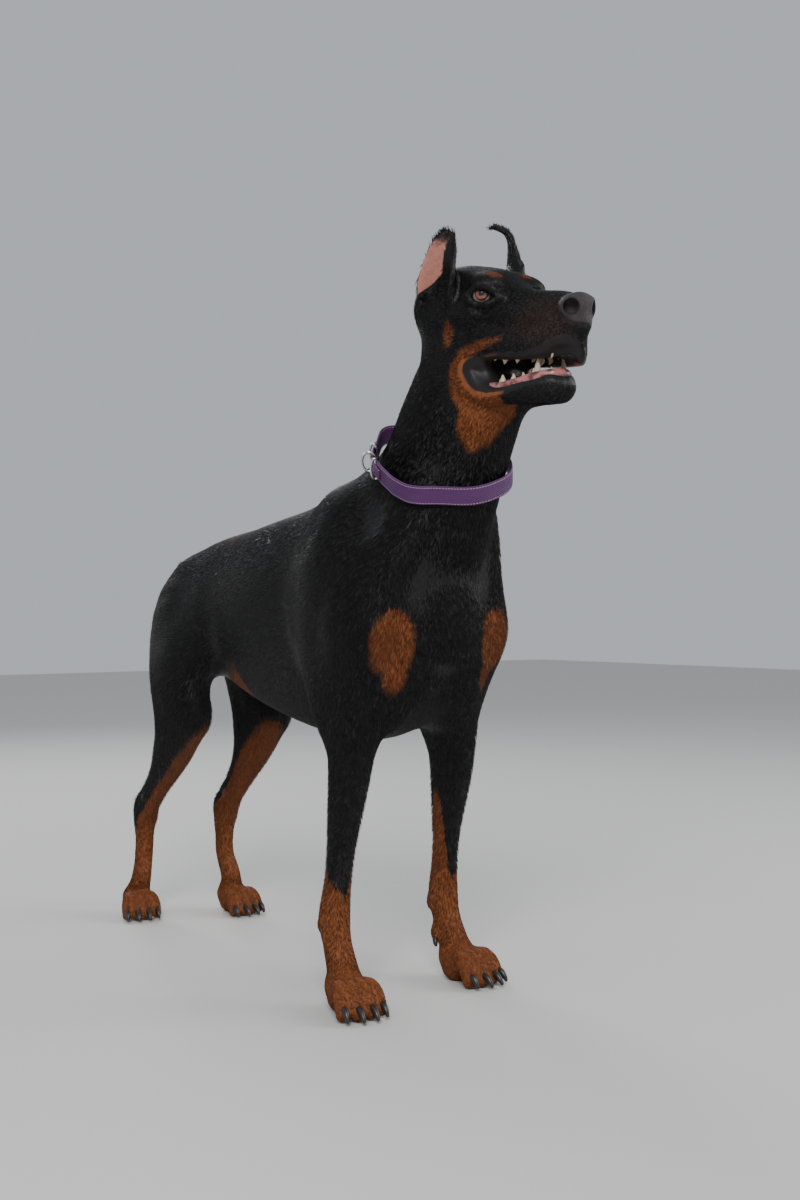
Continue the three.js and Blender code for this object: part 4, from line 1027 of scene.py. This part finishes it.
# Gums. Two wet ridges along the jaws, in which the teeth stand: pink with dark blotches below, and
# nearly black above, where they lie in the lip's shadow.
LOWER_GUM = [[36, -44, -102, 6, 6], [34, -80, -102, 6.5, 7], [30, -112, -95, 6.5, 7],
             [22, -140, -87, 7, 8], [11, -155, -83, 7, 7], [0, -159, -82, 7, 6.5]]
UPPER_GUM = [[34, -44, -60, 5, 6], [31, -80, -57, 5.5, 6], [25, -112, -54, 5.5, 6], [15, -146, -45, 5, 4],
             [7, -160, -43, 5, 4], [0, -163, -43, 5, 4]]
gum_sheet = Sheet("gum")
blotch = gum_sheet.noise(gum_sheet.place(), 90.0, 3.0)
gum_sheet.set(Base_Color=gum_sheet.blend(blotch.above(0.40, 0.60), rgb(0.42, 0.16, 0.15),
                                         rgb(0.13, 0.045, 0.045)),
              Roughness=0.28, Normal=gum_sheet.bump(blotch, 0.002, 0.5))
dark_gum = Sheet("dark_gum")
dark_gum.set(Base_Color=rgb(0.016, 0.009, 0.009), Roughness=0.35)
for name, rows, sheet in (("gum_lower", LOWER_GUM, gum_sheet), ("gum_upper", UPPER_GUM, dark_gum)):
    arch = rows + [[-r[0], *r[1:]] for r in rows[-2::-1]]
    points, faces = loft(arch, 16, (0, 0, 1))
    ridge = build(name, on_head(points), faces, sheet.material)
    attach(ridge, "root")


# Tongue. A flat pink tongue with a middle groove, lying in the lower jaw; wet and finely pimpled.
TONGUE = [[0, -30, -93, 17, 7], [0, -60, -97, 20, 6], [0, -95, -95, 19, 5], [0, -128, -90, 16, 4.5],
          [0, -148, -87, 11, 3.5]]
points, faces = loft(TONGUE, 28)
points[:, 2] -= 2.2 * np.exp(-(points[:, 0] / 3.5) ** 2)
tongue_sheet = Sheet("tongue")
pimples = tongue_sheet.cells(tongue_sheet.place(), 700.0)
tongue_sheet.set(Base_Color=tongue_sheet.blend(pimples, rgb(0.50, 0.17, 0.17), rgb(0.62, 0.27, 0.25)),
                 Roughness=0.3,
                 Normal=tongue_sheet.bump(pimples, 0.0006, 0.6))
tongue = build("tongue", on_head(points), faces, tongue_sheet.material)
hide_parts("tongue")
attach(tongue, "root")


# Claws. Thick black horn, bent down at each toe's end, with fine lines along it; two dewclaws higher up.
claw_sheet = Sheet("black_horn")
lines = claw_sheet.noise(claw_sheet.place(), 500.0)
claw_sheet.set(Base_Color=claw_sheet.blend(lines, rgb(0.010, 0.009, 0.008), rgb(0.035, 0.030, 0.027)),
               Roughness=0.32)


def claw(name, rows, across):
    points, faces = loft(rows, 14, across)
    made = build(name, points, faces, claw_sheet.material)
    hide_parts(name)
    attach(made, "root")


for leg in LEGS:
    kind, side = leg.name.split("_")
    for number, (b, long, spread) in enumerate(TOES, 1):
        w = (b + spread) * 1.04
        rows = [[*leg.on_paw(49 * long, w * 0.97, 17), 4.6, 5.6],
                [*leg.on_paw(57 * long, w * 0.98, 16), 4.6, 5.4],
                [*leg.on_paw(64 * long, w * 0.99, 11), 3.6, 4.2], [*leg.on_paw(69 * long, w, 5), 1.9, 2.1]]
        claw(f"claw_{kind}_{side}_{number}", rows, leg.across)
    if kind == "fore":
        cx, cy, cz = leg.joints[1]
        x, y, z = cx - leg.s * 20, cy - 7, cz - 58
        rows = [[x, y, z, 4, 4.2], [x - leg.s * 3, y - 4, z - 6, 3.4, 3.8],
                [x - leg.s * 3, y - 6, z - 11, 1.6, 1.8]]
        claw(f"dewclaw_{side}", rows, (1, 0, 0))


# Collar. Purple webbing with a chevron weave and pale pink stitching at both edges, round the lower neck
# and open at the nape, where wire rings join its ends to a short control loop.
COLLAR_AT, COLLAR_UP, COLLAR_WIDTH, COLLAR_THICK = vec(15, -350, 720), (-0.4, -0.445, 1), 26, 3
neck_up = unit(COLLAR_UP)
strap_side = unit(vec(1, 0, 0) - neck_up * neck_up[0])
strap_back = np.cross(neck_up, strap_side)
NECK_FORMS = NECK + [shoulder(-1)[4], shoulder(1)[4]]
STRAP_SIDES = 24                                  # points round the strap's section


def bearing(deg):
    a = np.radians(np.atleast_1d(deg))[:, None]
    return strap_side * np.sin(a) + strap_back * np.cos(a)


def strap_radius(deg):
    """The largest reach of the neck over the strap's width, at each bearing."""
    best, r = 0, np.arange(30, 140, 0.5)
    for lift in (-0.5, -0.25, 0, 0.25, 0.5):
        start = COLLAR_AT + neck_up * lift * COLLAR_WIDTH
        rays = start + bearing(deg)[:, None] * r[None, :, None]
        outside = level(NECK_FORMS, *rays.reshape(-1, 3).T).reshape(len(rays), -1) > 0
        best = np.maximum(best, r[outside.argmax(1)])
    return best


def band(from_deg, to_deg, width, lift, thick, steps):
    """A strap with rounded edges; its weave runs by two marks, along and across, in millimetres."""
    deg = np.linspace(from_deg, to_deg, steps + 1)
    r = strap_radius(deg)
    soft = np.convolve(np.pad(r, 3, mode="edge"), np.ones(7) / 7, "valid")
    r = np.maximum(r, soft) + lift
    a = np.linspace(0, 2 * math.pi, STRAP_SIDES, endpoint=False)
    across = np.sign(np.cos(a)) * np.abs(np.cos(a)) ** 0.25 * width / 2
    out = thick / 2 + np.sign(np.sin(a)) * np.abs(np.sin(a)) ** 0.35 * thick / 2
    rings = COLLAR_AT + bearing(deg)[:, None] * (r[:, None] + out)[..., None] + neck_up * across[None, :,
                                                                                                 None]
    points = np.vstack([rings.reshape(-1, 3), rings[0].mean(0)[None], rings[-1].mean(0)[None]])
    length = np.repeat(np.radians(deg) * r.mean(), STRAP_SIDES)
    along = np.append(length, [length[0], length[-1]])
    return points, round_faces(steps + 1, STRAP_SIDES), along, np.append(np.tile(across, steps + 1),
                                                                         [0, 0])


web_sheet = Sheet("purple_webbing")
along, across = web_sheet.attribute("along"), web_sheet.attribute("across")
chevron = ((along + across.abs() * 0.9) * 2.4).sin()
cross_rib = (across * 3.9).sin()
weave = chevron * 0.6 + cross_rib * 0.4
STITCH_LINE = 10.8                                # from the strap's middle line
edge = (across.abs() - STITCH_LINE).abs()
stitch = (1 - edge.above(0.35, 0.75)) * (along * 1.9).sin().above(-0.5, 0.0)
purple = web_sheet.blend(weave.above(-0.9, 0.9), rgb(0.042, 0.008, 0.060), rgb(0.135, 0.030, 0.165))
web_sheet.set(Base_Color=web_sheet.blend(stitch, purple, rgb(0.62, 0.36, 0.50)), Roughness=0.62,
              Normal=web_sheet.bump(weave + stitch * 2, 0.0005, 0.8))
STRAPS = (("collar_strap", (-36, 290, COLLAR_WIDTH, 3.2, COLLAR_THICK, 240)),
          ("collar_loop", (-26, -80, 16, 7, 2.4, 60)))
for name, strip in STRAPS:
    width = strip[2]
    points, faces, length, offset = band(*strip)
    strap = build(name, points, faces, web_sheet.material)
    mark(strap, {"along": length, "across": offset * COLLAR_WIDTH / width})
    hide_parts(name)
    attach(strap, "root")

WIRE = 1.8                                        # radius of the rings' wire
RING_GAP = 0.7                                    # between the rings and the neck
RING_STEPS, WIRE_SIDES = 48, 12
steel_sheet = Sheet("bright_ring_steel")
steel_sheet.set(Base_Color=rgb(0.62, 0.62, 0.63), Metallic=1.0,
                Roughness=0.2 + steel_sheet.noise(steel_sheet.place(), 300.0) * 0.12)
RINGS = (("collar_ring_1", -38.5, 15, 5.4), ("collar_ring_2", -67.5, 15, 5.4),
         ("collar_lead_ring", -53, 14, 10))
for name, deg, half_width, half_height in RINGS:
    out = bearing(deg)[0]
    centre = COLLAR_AT + out * (strap_radius(deg)[0] + RING_GAP + WIRE + half_height)
    t, q = (np.linspace(0, 2 * math.pi, n, endpoint=False) for n in (RING_STEPS, WIRE_SIDES))
    at = centre + neck_up * (half_width * np.cos(t))[:, None] + out * (half_height * np.sin(t))[:, None]
    away = unit(neck_up * (np.cos(t) / half_width)[:, None] + out * (np.sin(t) / half_height)[:, None])
    beside = np.cross(neck_up, out)
    ring = at[:, None] + WIRE * (away[:, None] * np.cos(q)[None, :, None] + beside * np.sin(q)[None, :,
                                                                                               None])
    i, j = np.arange(RING_STEPS)[:, None], np.arange(WIRE_SIDES)[None, :]
    near, far, k = i * WIRE_SIDES, (i + 1) % RING_STEPS * WIRE_SIDES, (j + 1) % WIRE_SIDES
    quads = np.stack([near + j, near + k, far + k, far + j], 2).reshape(-1, 4)
    ring_piece = build(name, ring.reshape(-1, 3), quads, steel_sheet.material)
    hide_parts(name)
    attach(ring_piece, "root")


# Coat. Short, flat, glossy hair: thin closed blades that overlap and follow the lie of the coat, back
# along the trunk, down the neck, chest and legs, over the toes and up the ears. They grow from the skin
# and carry its marks.
TUFTS = 336000 if COARSE == 1.0 else 60000
PIECE_TUFTS = 48000                               # in each piece of the coat
PATCH = 0.003                                     # of each tuft on the OFBake map
EYE_CLEAR = 15.5                                  # no hair grows this near to an eye's middle
STRAY = 0.14                                      # how far the hairs stray from the lie of the coat
ROOT_DEPTH = 0.5                                  # how deep they stand in the skin


def lie(points, normal):
    """The way the hair lies, along the skin."""
    x, y, z = points.T
    q = face_local(points)
    ways = np.tile(vec(0, 1, -0.35), (len(points), 1))
    for share, way in ((np.clip((-215 - y) / 90, 0, 1), vec(0, 0.45, -1)),
                       (np.clip((460 - z) / 90, 0, 1), vec(0, 0.3, -1)),
                       (np.clip((52 - z) / 20, 0, 1), vec(0, -1, -0.45)),
                       (on_skull(points), vec(0, 1, -0.25)),
                       (np.clip((q[:, 2] - 46) / 12, 0, 1) * (np.abs(q[:, 0]) > 22), vec(0, 0.25, 1))):
        ways = ways * (1 - share[:, None]) + way * share[:, None]
    ways -= normal * (ways * normal).sum(1)[:, None]
    return unit(ways + 1e-6)


def hair_length(points):
    """Millimetres: longest behind the thighs, shortest on the muzzle, ears and toes."""
    q, z = face_local(points), points[:, 2]
    long = 11 + 3 * np.clip((points[:, 1] - 200) / 60, 0, 1) * np.clip(1 - np.abs(z - 430) / 120, 0, 1)
    long -= 3 * np.clip((330 - z) / 120, 0, 1) + 3.5 * np.clip((60 - z) / 30, 0, 1)
    face = 6.5 - 3.0 * np.clip((-60 - q[:, 1]) / 90, 0, 1) - 4 * np.clip((q[:, 2] - 46) / 12, 0, 1)
    share = on_skull(points)
    return long * (1 - share) + face * share


BODY_CHARTS = ((0.005, 0.50, 0.47, 0.49), (0.485, 0.50, 0.25, 0.49), (0.745, 0.50, 0.25, 0.49))
CHARTS = BODY_CHARTS + tuple((0.005 + 0.25 * i, 0.005, 0.24, 0.48) for i in range(len(LEGS)))


def unwrap(points):
    """A place on the OFBake map and a chart number: each part is unrolled round its own middle line."""
    q, (x, y, z) = face_local(points), points.T
    parts = [((z > 640) & (y < -250), np.arctan2(x - 18, y + 385), (z - 640) / 300),
             (on_skull(points) > 0.5, np.arctan2(q[:, 0], q[:, 2] + 30), (q[:, 1] + 215) / 340)]
    for leg in LEGS:
        cx, cy = leg_line(leg, z)
        own = (z < 440) & (leg.s * x > 0) & ((y < -60) == leg.name.startswith("fore"))
        parts.append((own, np.arctan2(x - cx, y - cy), z / 440))
    angle, along, chart = np.arctan2(x, z - 520), (y + 420) / 760, np.zeros(len(points), int)
    for number, (own, around, up) in enumerate(parts, 1):
        angle, along = np.where(own, around, angle), np.where(own, up, along)
        chart = np.where(own, number, chart)
    u0, v0, wide, high = np.array(CHARTS)[chart].T
    edge = 2 * PATCH
    return np.stack([u0 + (angle / (2 * math.pi) + 0.5) * (wide - edge),
                     v0 + np.clip(along, 0, 1) * (high - edge)],
                    1), chart


rng = np.random.default_rng(7)
corners = hide[triangles]
facing = np.cross(corners[:, 1] - corners[:, 0], corners[:, 2] - corners[:, 0])
area, middle = np.linalg.norm(facing, axis=1), corners.mean(1)
bare = np.max([marks[name][triangles].max(1) for name in ("lip", "leather", "gum")], 0) > -1.5
q = paired_local(middle)
bare |= (np.linalg.norm(q - EYE_AT - vec(2, -3, 0), axis=1) < EYE_CLEAR) | (middle[:, 2] < 2.5)
bare |= marks["lining"][triangles].max(1) > 0.6
weight = area * ~bare * (1 + 1.8 * on_skull(middle) + 1.2 * np.clip((90 - middle[:, 2]) / 40, 0, 1))
chosen = rng.choice(len(triangles), TUFTS, p=weight / weight.sum())
a, b = rng.random((2, TUFTS, 1))
flip = a + b > 1
a, b = np.where(flip, 1 - a, a), np.where(flip, 1 - b, b)
root = corners[chosen, 0] * (1 - a - b) + corners[chosen, 1] * a + corners[chosen, 2] * b
normal = unit(facing[chosen])
long = hair_length(root) * rng.uniform(0.75, 1.2, TUFTS)
way = lie(root, normal)
beside = np.cross(normal, way)
way = unit(way + beside * rng.normal(0, STRAY, TUFTS)[:, None])
beside = np.cross(normal, way)
tip = root + way * long[:, None]
lift = 0.5 + 0.07 * long * rng.random(TUFTS)
g = slope(BODY, tip, 1.0)
off = (level_at(BODY, tip) + SKIN_DEPTH - lift) / np.maximum((g * g).sum(1), 0.25)
tip -= np.clip(off, -0.35 * long, 0.35 * long)[:, None] * g
tip[:, 2] = np.maximum(tip[:, 2], 0.8)
half = (0.055 * long + 0.18)[:, None]
foot = normal * ROOT_DEPTH
strands = np.stack([root - beside * half - foot, root + beside * half - foot,
                    root + normal * half * 0.45 + way * long[:, None] * 0.12, tip], 1)
unwrapped, chart = unwrap(root)
order = np.argsort(chart, kind="stable")
coat_sheet = dog_sheet("short_black_and_rust_hair", True)
root_marks = {"rust": rust(root), **head_marks(root)}
root_marks["down"] = marks["down"][triangles[chosen, 0]]
BLADE = np.array([[1, 0, 3], [0, 2, 3], [2, 1, 3], [0, 1, 2]])
for number, start in enumerate(range(0, TUFTS, PIECE_TUFTS), 1):
    part = order[start:start + PIECE_TUFTS]
    faces = (BLADE[None] + 4 * np.arange(len(part))[:, None, None]).reshape(-1, 3)
    tufts = build(f"coat_{number}", strands[part].reshape(-1, 3), faces, coat_sheet.material)
    mark(tufts, {name: np.repeat(value[part], 4) for name, value in root_marks.items()})
    corner = np.array([[0, 0], [1, 0], [0.5, 0.4], [0.5, 1]]) * PATCH
    uv = (unwrapped[part][:, None] + corner[None]).reshape(-1, 2)[faces.ravel()]
    tufts.data.uv_layers.new(name="OFBake").data.foreach_set("uv", uv.astype(np.float32).ravel())
    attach(tufts, "root")
